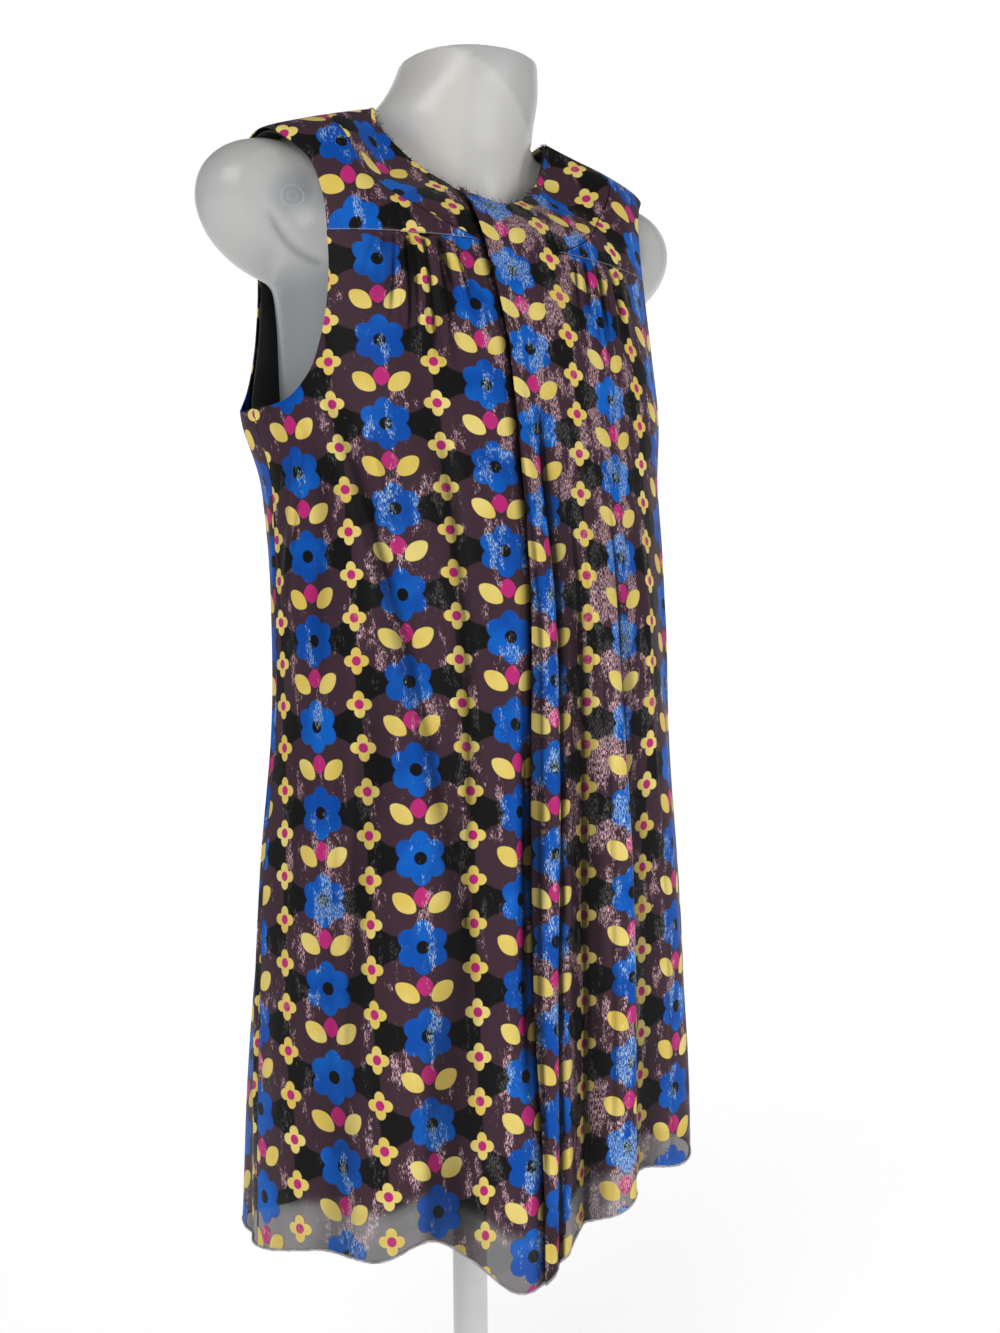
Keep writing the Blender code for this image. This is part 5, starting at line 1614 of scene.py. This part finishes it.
# ---------------------------------------------------------------- operators
class DRESS_OT_form(bpy.types.Operator):
    """Build the smooth torso form with its neck and shoulder caps"""

    bl_idname = "dress.form"
    bl_label = "Torso form"

    def execute(self, context):
        looks = context.scene.dress_form
        rough = bpy.data.meshes.new("rough_form")
        shaped = bmesh.new()
        self.add_loft(shaped, TORSO_SECTIONS, *TORSO_GRID)
        self.add_loft(shaped, NECK_SECTIONS, *NECK_GRID)
        for side in (-1, 1):
            self.add_cap(shaped, side)
        bmesh.ops.recalc_face_normals(shaped, faces=shaped.faces)
        shaped.to_mesh(rough)
        shaped.free()
        piece = bpy.data.objects.new("dress_form", rough)
        context.scene.collection.objects.link(piece)
        remesh = piece.modifiers.new("run together", "REMESH")
        remesh.mode = "VOXEL"
        remesh.voxel_size = looks.voxel
        relax = piece.modifiers.new("relax", "SMOOTH")
        relax.iterations = FORM_SMOOTHING
        evaluated = piece.evaluated_get(context.evaluated_depsgraph_get())
        solid = bpy.data.meshes.new_from_object(evaluated)
        piece.modifiers.clear()
        piece.data = solid
        solid.name = "dress_form"
        self.fill_hollows(solid)
        self.shape_caps(solid)
        self.cut_neck(solid)
        solid.shade_smooth()
        solid.set_sharp_from_angle(angle=SHARP_ANGLE)
        add_values(solid, {"shade": form_shade(mesh_rows(solid, "co"))})
        solid.materials.append(form_shell("form_shell", looks.shell, looks.shaded))
        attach(piece, "root")
        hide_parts("torso_form")
        return {"FINISHED"}

    def add_loft(self, shaped, sections, segments, rings):
        """Adds the torso or the neck, with as many rings between any two of its sections."""
        last = len(sections["drop"]) - 1
        drops = np.interp(np.linspace(0, last, rings), range(last + 1), sections["drop"])
        angles = np.linspace(0.0, 360.0, segments, endpoint=False)
        rows = []
        for drop in drops:
            ring = level_point(sections, angles, np.full(segments, drop))
            if sections is NECK_SECTIONS:
                ring[:, 0] += curve(NECK_LEAN, "drop", "aside", drop)
                ring[:, 1] -= curve(NECK_LEAN, "drop", "ahead", drop)
            rows.append([shaped.verts.new(point) for point in ring])
        for low, high in zip(rows, rows[1:]):
            for i in range(segments):
                shaped.faces.new((low[i], low[(i + 1) % segments], high[(i + 1) % segments], high[i]))
        shaped.faces.new(rows[0])
        shaped.faces.new(rows[-1])

    def add_cap(self, shaped, side):
        """Adds the shoulder cap of one side."""
        x, y, drop = CAP_CENTRE
        place = Matrix.Diagonal((side, 1.0, 1.0, 1.0))
        place = place @ Matrix.Translation((x, y, NECK_POINT_HEIGHT - drop))
        place = place @ Matrix.Rotation(math.radians(CAP_TIP_BACKWARDS), 4, "X")
        place = place @ Matrix.Rotation(math.radians(CAP_TIP_OUTWARDS), 4, "Y")
        place = place @ Matrix.Diagonal((*CAP_RADII, 1.0))
        segments, rings = CAP_GRID
        bmesh.ops.create_uvsphere(
            shaped, u_segments=segments, v_segments=rings, radius=1.0, matrix=place
        )

    def fill_hollows(self, solid):
        """Runs each cap smoothly into the chest, by relaxing the hollow between them."""
        points = mesh_rows(solid, "co")
        edges = np.empty(len(solid.edges) * 2, np.int32)
        solid.edges.foreach_get("vertices", edges)
        edges = edges.reshape(-1, 2)
        ends = np.concatenate([edges, edges[:, ::-1]])
        neighbours = np.bincount(ends[:, 0], minlength=len(points))
        out = np.abs(points[:, 0])
        drop = NECK_POINT_HEIGHT - points[:, 2]
        places = np.stack([out, points[:, 1], drop], axis=-1)
        away = np.linalg.norm(places - np.array(CAP_HOLLOW), axis=-1)
        share = (1.0 - smooth_step(*CAP_HOLLOW_RADII, away)) * smooth_step(*CAP_HOLLOW_OUT, out)
        for _ in range(CAP_HOLLOW_ROUNDS):
            for k in range(3):
                total = np.bincount(ends[:, 0], points[ends[:, 1], k], minlength=len(points))
                points[:, k] += share * (total / neighbours - points[:, k])
        solid.vertices.foreach_set("co", points.ravel())
        solid.update()

    def cut_neck(self, solid):
        """Cuts the neck off flat, with a narrow rounded rim."""
        shaped = bmesh.new()
        shaped.from_mesh(solid)
        every = shaped.verts[:] + shaped.edges[:] + shaped.faces[:]
        cut = bmesh.ops.bisect_plane(
            shaped,
            geom=every,
            plane_co=(0.0, 0.0, NECK_TOP_HEIGHT),
            plane_no=(0.0, 0.0, 1.0),
            clear_outer=True,
        )
        rim = [edge for edge in cut["geom_cut"] if isinstance(edge, bmesh.types.BMEdge)]
        bmesh.ops.edgeloop_fill(shaped, edges=rim)
        bmesh.ops.bevel(
            shaped,
            geom=rim,
            offset=NECK_RIM_BEVEL,
            segments=NECK_RIM_SEGMENTS,
            profile=0.5,
            affect="EDGES",
        )
        bmesh.ops.recalc_face_normals(shaped, faces=shaped.faces)
        shaped.to_mesh(solid)
        shaped.free()

    def shape_caps(self, solid):
        """Presses the soft crease into each shoulder cap."""
        points = mesh_rows(solid, "co")
        points = points + mesh_rows(solid, "normal") * cap_marks(points)[:, None]
        solid.vertices.foreach_set("co", points.ravel())
        solid.update()


def cap_marks(points):
    """How far each point of the form moves out, to crease its shoulder caps."""
    drop = NECK_POINT_HEIGHT - points[:, 2]
    out = np.abs(points[:, 0])
    front = 1.0 - smooth_step(*MARKS_REACH, points[:, 1])
    start, end = np.array(CAP_CREASE_START), np.array(CAP_CREASE_END)
    along = end - start
    share = ((out - start[0]) * along[0] + (drop - start[1]) * along[1]) / (along @ along)
    share = np.clip(share, 0.0, 1.0)
    gap = np.hypot(out - start[0] - along[0] * share, drop - start[1] - along[1] * share)
    swell = np.sin(np.clip(share, *CAP_CREASE_SHARES) * math.pi) ** CAP_CREASE_BLUNTNESS
    return -CAP_CREASE_DEPTH * np.exp(-((gap / CAP_CREASE_WIDTH) ** 2)) * swell * front


def form_shade(points):
    """How far each point of the form is mixed to its shaded colour: painted shade, 1 where the form
    is in its own shade or that of the dress and 0 in the light, and the caps darker all over.
    """
    drop = NECK_POINT_HEIGHT - points[:, 2]
    out = np.abs(points[:, 0])
    away = np.hypot(out - CAP_SHADE[0], drop - CAP_SHADE[1])
    cap = np.exp(-((away / CAP_SHADE[2]) ** 2)) * (points[:, 1] < CAP_SHADE_BACK)
    chest = smooth_step(*CHEST_SHADE_DROPS, drop) * smooth_step(*CHEST_SHADE_OUT, out)
    whole_cap = CAP_TONE * smooth_step(*CAP_TONE_OUT, out)
    across = NECK_PLANE_TO[0] - NECK_PLANE_FROM[0]
    down = NECK_PLANE_TO[1] - NECK_PLANE_FROM[1]
    above = (points[:, 0] - NECK_PLANE_FROM[0]) * down - (drop - NECK_PLANE_FROM[1]) * across
    above = above / math.hypot(across, down)
    plane = NECK_PLANE_TONE * smooth_step(*NECK_PLANE_EDGE, above)
    throat = THROAT_TONE * smooth_step(*THROAT_EDGE, points[:, 0])
    on_neck = (1.0 - smooth_step(*NECK_FRONT, points[:, 1])) * (out < NECK_HALF_WIDTH)
    neck = np.maximum(plane, throat) * on_neck * (drop < YOKE_DROP)
    return np.maximum.reduce([cap, chest, whole_cap, neck])


class DRESS_OT_stand(bpy.types.Operator):
    """Finish the pole, its fittings and the base"""

    bl_idname = "dress.stand"
    bl_label = "Stand"

    def execute(self, context):
        metal = context.scene.dress_form.metal
        paint = painted_metal("stand_paint", metal, PAINT_ROUGHNESS)
        tube = painted_metal("stand_tube", metal, TUBE_ROUGHNESS)
        for name in ("stand_base", "stand_collar", "stand_flange", "stand_pole"):
            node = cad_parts[name]
            node.data.materials.clear()
            node.data.materials.append(tube if name == "stand_pole" else paint)
        return {"FINISHED"}


def cloth_materials(context):
    """The print and the thread of its rolled hem, made once, with the lining's cloth."""
    colours = context.scene.dress_cloth
    if "flower_print" not in bpy.data.materials:
        printed_cloth("flower_print", colours)
        plain_cloth("hem_thread", colours.edge)
        plain_cloth("black_lining", colours.lining)
    return bpy.data.materials["flower_print"], bpy.data.materials["hem_thread"]


def past_lining(angle, drop):
    """1 where the cloth hangs below the lining's hem, 0 above it."""
    swing = LINING_SWING * (hem_drop(angle) - DRESS_LENGTH)
    return smooth_step(*PAST_LINING, drop - (DRESS_LENGTH - LINING_SHORTER_BY + swing))


def outer_piece(name, angle, drop, depth, places, edges, material, faces=None):
    """A piece of the printed cloth, with what its finish needs to know of each point: how far
    past the lining it is, how deep in the painted shade, and how near the middle of the front,
    where more flecks are painted as glints of the light."""
    piece = cloth_piece(name, angle, drop, depth, CLOTH, 1.0, [material], places, edges, faces)
    angle, drop = np.ravel(angle), np.ravel(drop)
    # Painted shade of the fold troughs, and on the wearer's right of the panel's pressed edge.
    shade = cloth_shade(angle, drop)
    if name.endswith("_right"):
        shade = np.maximum(shade, pleat_shade(angle, drop))
    x, y, _ = level_point(DRESS_SECTIONS, angle, drop).T
    # Near the middle of the front more flecks are painted, as glints of the light.
    middle = (1.0 - smooth_step(*MIDDLE_REACH, np.abs(x - MIDDLE_PLACE))) * (y < 0.0)
    values = {"past_lining": past_lining(angle, drop), "shade": shade, "middle": middle}
    add_values(piece.data, {key: np.tile(numbers, 2) for key, numbers in values.items()})
    return piece


def hem_roll(name, angle, drop, depth, material):
    """The narrow rolled edge along the hem of a piece."""
    route = cloth_point(angle, drop, depth + CLOTH / 2, 1.0)
    steps = np.arange(len(route))
    ripple = 1.0 + sum(share * np.sin(steps * pace) for share, pace in HEM_RIPPLES)
    points, faces = tube_along(route, HEM_ROLL_RADIUS * ripple, HEM_ROLL_SIDES)
    roll = new_piece(name, points, faces, [material])
    return roll


def frayed_edge(place, edge, inner):
    """Loose threads along a raw edge, given with the points of the cloth next to it."""
    chance = np.random.default_rng(FRAY_SEEDS[place])
    along = np.concatenate([[0.0], np.cumsum(np.linalg.norm(np.diff(edge, axis=0), axis=-1))])
    count = int(along[-1] / FRAY_SPACING)
    at = np.sort(chance.uniform(0.0, along[-1], count))
    roots = np.stack([np.interp(at, along, edge[:, k]) for k in range(3)], axis=-1)
    outward = edge - inner
    outward /= np.linalg.norm(outward, axis=-1, keepdims=True)
    outward = np.stack([np.interp(at, along, outward[:, k]) for k in range(3)], axis=-1)
    length = FRAY_LENGTHS[0] + (FRAY_LENGTHS[1] - FRAY_LENGTHS[0]) * chance.random(count) ** 2
    points, faces, start = [], [], 0
    for root, way, reach in zip(roots, outward, length):
        middle = root + (way + FRAY_LEAN * chance.normal(size=3)) * reach * 0.5
        tip = middle + (way + FRAY_LEAN * chance.normal(size=3)) * reach * 0.5
        route = [root - way * FRAY_ROOT, middle, tip]
        thread, sides = tube_along(route, FRAY_RADIUS, FRAY_SIDES)
        points.append(thread)
        faces += [tuple(index + start for index in face) for face in sides]
        start += len(thread)
    black = bpy.data.materials["black_lining"]
    threads = new_piece("fray_" + place, np.concatenate(points), faces, [black])
    return threads


class DRESS_OT_fronts(bpy.types.Operator):
    """Build the two skirt fronts, with the centre panel and the gathers under the yokes"""

    bl_idname = "dress.fronts"
    bl_label = "Fronts"

    def execute(self, context):
        cloth, thread = cloth_materials(context)
        angle, drop = front_patch(-1)
        angle, drop = angle[:, ::-1], drop[:, ::-1]
        depth = tuck_depth(angle, drop)
        surface = cloth_point(angle, drop, depth, 1.0)
        across = row_lengths(surface[:, ::-1])[:, ::-1]
        places = np.stack([-across, DRESS_LENGTH - drop], axis=-1)
        edges = {"seam": np.concatenate([surface[-1], surface[:SKIRT_ROWS, 0]]), "yoke_seam": []}
        right = outer_piece("cloth_front_right", angle, drop, depth, places, edges, cloth)
        roll = hem_roll("hem_roll_front_right", angle[0], drop[0], depth[0], thread)
        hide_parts("front_right")
        self.left_front(cloth, thread)
        return {"FINISHED"}

    def left_front(self, cloth, thread):
        """Builds the left front, with the top of the centre panel joined to its upper edge."""
        angle, drop = front_patch(1)
        wide = angle.shape[1]
        faces = grid_faces(wide - 1, angle.shape[0] - 1)
        top_angle, top_drop = panel_top_patch()
        below = [angle.size - wide + i for i in range(PANEL_COLUMNS + 1)]
        for row in range(PANEL_TOP_ROWS):
            here = [angle.size + row * (PANEL_COLUMNS + 1) + i for i in range(PANEL_COLUMNS + 1)]
            faces += [(below[i], below[i + 1], here[i + 1], here[i]) for i in range(PANEL_COLUMNS)]
            below = here
        depth = pleat_depth(angle, drop)
        surface = cloth_point(angle, drop, depth, 1.0)
        lengths = row_lengths(surface)
        places = np.stack([lengths + PANEL_PRINT_SHIFT, DRESS_LENGTH - drop], axis=-1)
        top_depth = pleat_depth(top_angle, top_drop)
        top_surface = cloth_point(top_angle, top_drop, top_depth, 1.0)
        top_places = slope_places(top_surface) + np.array([PANEL_TOP_SHIFT, 0.0])
        seam = np.concatenate([surface[-1, PANEL_COLUMNS:], surface[:SKIRT_ROWS, -1]])
        edges = {"seam": seam, "yoke_seam": []}
        parts = ((angle, top_angle), (drop, top_drop), (depth, top_depth))
        whole = [np.concatenate([low.ravel(), high.ravel()]) for low, high in parts]
        all_places = np.concatenate([places.reshape(-1, 2), top_places.reshape(-1, 2)])
        left = outer_piece("cloth_front_left", *whole, all_places, edges, cloth, faces)
        roll = hem_roll("hem_roll_front_left", angle[0], drop[0], depth[0], thread)
        fray = frayed_edge("front_left", top_surface[-1], top_surface[-2])
        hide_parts("front_left")


class DRESS_OT_yokes(bpy.types.Operator):
    """Build the yokes and the shaped bands beside the neckline"""

    bl_idname = "dress.yokes"
    bl_label = "Yokes and bands"

    def execute(self, context):
        cloth, _ = cloth_materials(context)
        for side, hand in ((-1, "right"), (1, "left")):
            self.add("yoke", hand, side, yoke_patch(), cloth, FLAT_YOKE, AREA_YOKE)
            self.add("neck_band", hand, side, band_patch(side), cloth, FLAT_BAND, AREA_BAND)
        return {"FINISHED"}

    def add(self, name, hand, side, patch, cloth, flat, area):
        """Builds a yoke or a band of one side."""
        angle, drop = side * patch[0], patch[1]
        depth = tuck_depth(angle, drop) if side < 0 else np.zeros_like(drop)
        surface = cloth_point(angle, drop, depth, 1.0)
        places = slope_places(surface) + np.array(PIECE_PRINT_SHIFT[name + "_" + hand])
        inner = surface[:, 0] if name == "yoke" else surface[:, -1]
        lowest = surface[0] if name == "yoke" else []
        edges = {"seam": np.concatenate([surface[0], inner]), "yoke_seam": lowest}
        piece = outer_piece(f"cloth_{name}_{hand}", angle, drop, depth, places, edges, cloth)
        riding = []
        if name == "neck_band":
            first = 1 if side < 0 else 0
            riding = [frayed_edge(hand, surface[first:, 0], surface[first:, 1])]
        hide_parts(f"{name}_{hand}")


class DRESS_OT_back(bpy.types.Operator):
    """Build the back, from the neckline to the hem"""

    bl_idname = "dress.back"
    bl_label = "Back"

    def execute(self, context):
        cloth, thread = cloth_materials(context)
        angle, drop = whole_patch(ARMHOLE_BACK, BACK_NECK_DROP, BACK_COLUMNS, SKIRT_ROWS, 0.0, 0.0)
        angle = 180.0 - angle
        drop = swing_hem(angle, drop, SKIRT_ROWS)
        depth = np.zeros_like(drop)
        surface = cloth_point(angle, drop, depth, 1.0)
        across = row_lengths(surface)
        across = across - across[:, BACK_COLUMNS // 2][:, None]
        rises = np.linalg.norm(np.diff(surface, axis=0), axis=-1)
        up = DRESS_LENGTH - drop
        first = SKIRT_ROWS + ARMHOLE_ROWS
        up[first + 1 :] = up[first] + np.cumsum(rises[first:], axis=0)
        places = np.stack([across, up], axis=-1)
        sides = np.concatenate([surface[:SKIRT_ROWS, 0], surface[:SKIRT_ROWS, -1]])
        edges = {"seam": np.concatenate([surface[-1], sides]), "yoke_seam": []}
        back = outer_piece("cloth_back", angle, drop, depth, places, edges, cloth)
        roll = hem_roll("hem_roll_back", angle[0], drop[0], depth[0], thread)
        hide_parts("back")
        neck = np.abs(np.linspace(-1.0, 1.0, BACK_COLUMNS + 1)) <= NECK_SHARE
        fray = frayed_edge("back", surface[-1, neck], surface[-2, neck])
        return {"FINISHED"}


class DRESS_OT_lining(bpy.types.Operator):
    """Build the plain lining"""

    bl_idname = "dress.lining"
    bl_label = "Lining"

    def execute(self, context):
        cloth_materials(context)
        black = bpy.data.materials["black_lining"]
        front = (ARMHOLE_FRONT, FRONT_NECK_DROP, 0.0, 1.0, FLAT_LINING_FRONT, AREA_LINING_FRONT)
        back = (ARMHOLE_BACK, BACK_NECK_DROP, 180.0, -1.0, FLAT_LINING_BACK, AREA_LINING_BACK)
        for name, half in (("lining_front", front), ("lining_back", back)):
            armhole, neck_drop, centre, turn, flat, area = half
            angle, drop = whole_patch(
                armhole,
                neck_drop,
                LINING_COLUMNS,
                LINING_SKIRT_ROWS,
                LINING_SHORTER_BY,
                LINING_SET_BACK,
            )
            angle = centre + turn * angle
            drop = swing_hem(angle, drop, LINING_SKIRT_ROWS, LINING_SWING)
            places = np.stack([angle * LINING_LENGTH_PER_DEGREE, DRESS_LENGTH - drop], axis=-1)
            depth = lining_depth(angle, drop)
            piece = cloth_piece(
                "cloth_" + name, angle, drop, depth, LINING, 0.0, [black], places, {}
            )
            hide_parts(name)
        return {"FINISHED"}


class DRESS_OT_stage(bpy.types.Operator):
    """Lay the paper, hang the lights and set up the camera"""

    bl_idname = "dress.stage"
    bl_label = "Stage"

    def execute(self, context):
        looks = context.scene.dress_stage
        self.paper(context, looks)
        self.lights(context, looks)
        self.camera(context)
        context.scene.view_settings.view_transform = "Standard"
        return {"FINISHED"}

    def paper(self, context, looks):
        """Lays the paper under the object, and up behind it as the camera sees it."""
        outline = [(-PAPER_HALF, 0.0)]
        for turn in np.linspace(0.0, math.pi / 2, PAPER_STEPS):
            out = PAPER_HALF - PAPER_SWEEP + PAPER_SWEEP * math.sin(turn)
            outline.append((out, PAPER_SWEEP - PAPER_SWEEP * math.cos(turn)))
        outline.append((PAPER_HALF, PAPER_HEIGHT))
        angle = math.radians(-CAMERA_TURN)
        ahead = np.array([math.sin(angle), math.cos(angle)])
        across = np.array([ahead[1], -ahead[0]])
        points, faces = [], []
        for out, up in outline:
            for aside in (-PAPER_HALF, PAPER_HALF):
                points.append((*(ahead * out + across * aside), up))
        for i in range(len(outline) - 1):
            faces.append((2 * i, 2 * i + 1, 2 * i + 3, 2 * i + 2))
        mesh = bpy.data.meshes.new("paper")
        mesh.from_pydata(points, [], faces)
        mesh.shade_smooth()
        floor = bpy.data.objects.new("paper", mesh)
        context.scene.collection.objects.link(floor)
        mesh.materials.append(studio_floor("paper", looks.paper, looks.glow))

    def lights(self, context, looks):
        """Hangs two soft lights in front of the object, in an even surround."""
        world = bpy.data.worlds.new("surround")
        world.use_nodes = True
        background = world.node_tree.nodes["Background"]
        background.inputs[0].default_value = (1.0, 1.0, 1.0, 1.0)
        background.inputs[1].default_value = looks.sky
        context.scene.world = world
        target = Vector((0.0, 0.0, NECK_POINT_HEIGHT - LIGHT_TARGET_DROP))
        key = ("key", KEY_PLACE, KEY_SIZE, looks.key)
        fill = ("fill", FILL_PLACE, FILL_SIZE, looks.fill)
        for name, place, size, power in (key, fill):
            light = bpy.data.lights.new(name, "AREA")
            light.size = size
            light.energy = power
            lamp = bpy.data.objects.new(name, light)
            lamp.location = target + Vector(place)
            lamp.rotation_euler = (target - lamp.location).to_track_quat("-Z", "Y").to_euler()
            context.scene.collection.objects.link(lamp)

    def camera(self, context):
        """Sets up the camera level with the middle of the dress."""
        turn, pitch = math.radians(CAMERA_TURN), math.radians(CAMERA_PITCH)
        back = Vector((math.sin(turn), -math.cos(turn), 0.0))
        place = back * CAMERA_DISTANCE + Vector((0.0, 0.0, NECK_POINT_HEIGHT - CAMERA_DROP))
        ahead = Matrix.Rotation(math.radians(CAMERA_YAW), 3, "Z") @ -back
        ahead = ahead * math.cos(pitch) + Vector((0.0, 0.0, math.sin(pitch)))
        right = ahead.cross(Vector((0.0, 0.0, 1.0))).normalized()
        up = right.cross(ahead)
        roll = math.radians(CAMERA_ROLL)
        cosine, sine = math.cos(roll), math.sin(roll)
        right, up = right * cosine + up * sine, up * cosine - right * sine
        lens = bpy.data.cameras.new("camera")
        lens.sensor_fit = "VERTICAL"
        lens.sensor_height = SENSOR_HEIGHT_MM
        lens.lens = FOCAL_PIXELS / PICTURE_HEIGHT * SENSOR_HEIGHT_MM
        camera = bpy.data.objects.new("camera", lens)
        axes = Matrix((right, up, -ahead)).transposed()
        camera.matrix_world = Matrix.Translation(place) @ axes.to_4x4()
        context.scene.collection.objects.link(camera)
        context.scene.camera = camera


class DRESS_PT_sidebar(bpy.types.Panel):
    """Lists the pieces of the dress, the form and the stage"""

    bl_idname = "DRESS_PT_sidebar"
    bl_label = "Shift dress"
    bl_space_type = "VIEW_3D"
    bl_region_type = "UI"
    bl_category = "Dress"

    def draw(self, context):
        for key in GROUPS:
            group = getattr(context.scene, key)
            box = self.layout.box()
            for name in group.__annotations__:
                box.prop(group, name)
        for operator in OPERATORS:
            self.layout.operator(operator.bl_idname)


GROUPS = {"dress_cloth": DRESS_PG_cloth, "dress_form": DRESS_PG_form, "dress_stage": DRESS_PG_stage}
OPERATORS = (
    DRESS_OT_stage,
    DRESS_OT_form,
    DRESS_OT_stand,
    DRESS_OT_lining,
    DRESS_OT_back,
    DRESS_OT_fronts,
    DRESS_OT_yokes,
)


def register():
    for kind in (*GROUPS.values(), *OPERATORS, DRESS_PT_sidebar):
        bpy.utils.register_class(kind)
    for name, kind in GROUPS.items():
        setattr(bpy.types.Scene, name, PointerProperty(type=kind))


def unregister():
    for name in GROUPS:
        delattr(bpy.types.Scene, name)
    for kind in reversed((*GROUPS.values(), *OPERATORS, DRESS_PT_sidebar)):
        bpy.utils.unregister_class(kind)


def main():
    """Builds everything."""
    register()
    for operator in OPERATORS:
        group, name = operator.bl_idname.split(".")
        getattr(getattr(bpy.ops, group), name)()


if __name__ == "__main__":
    main()
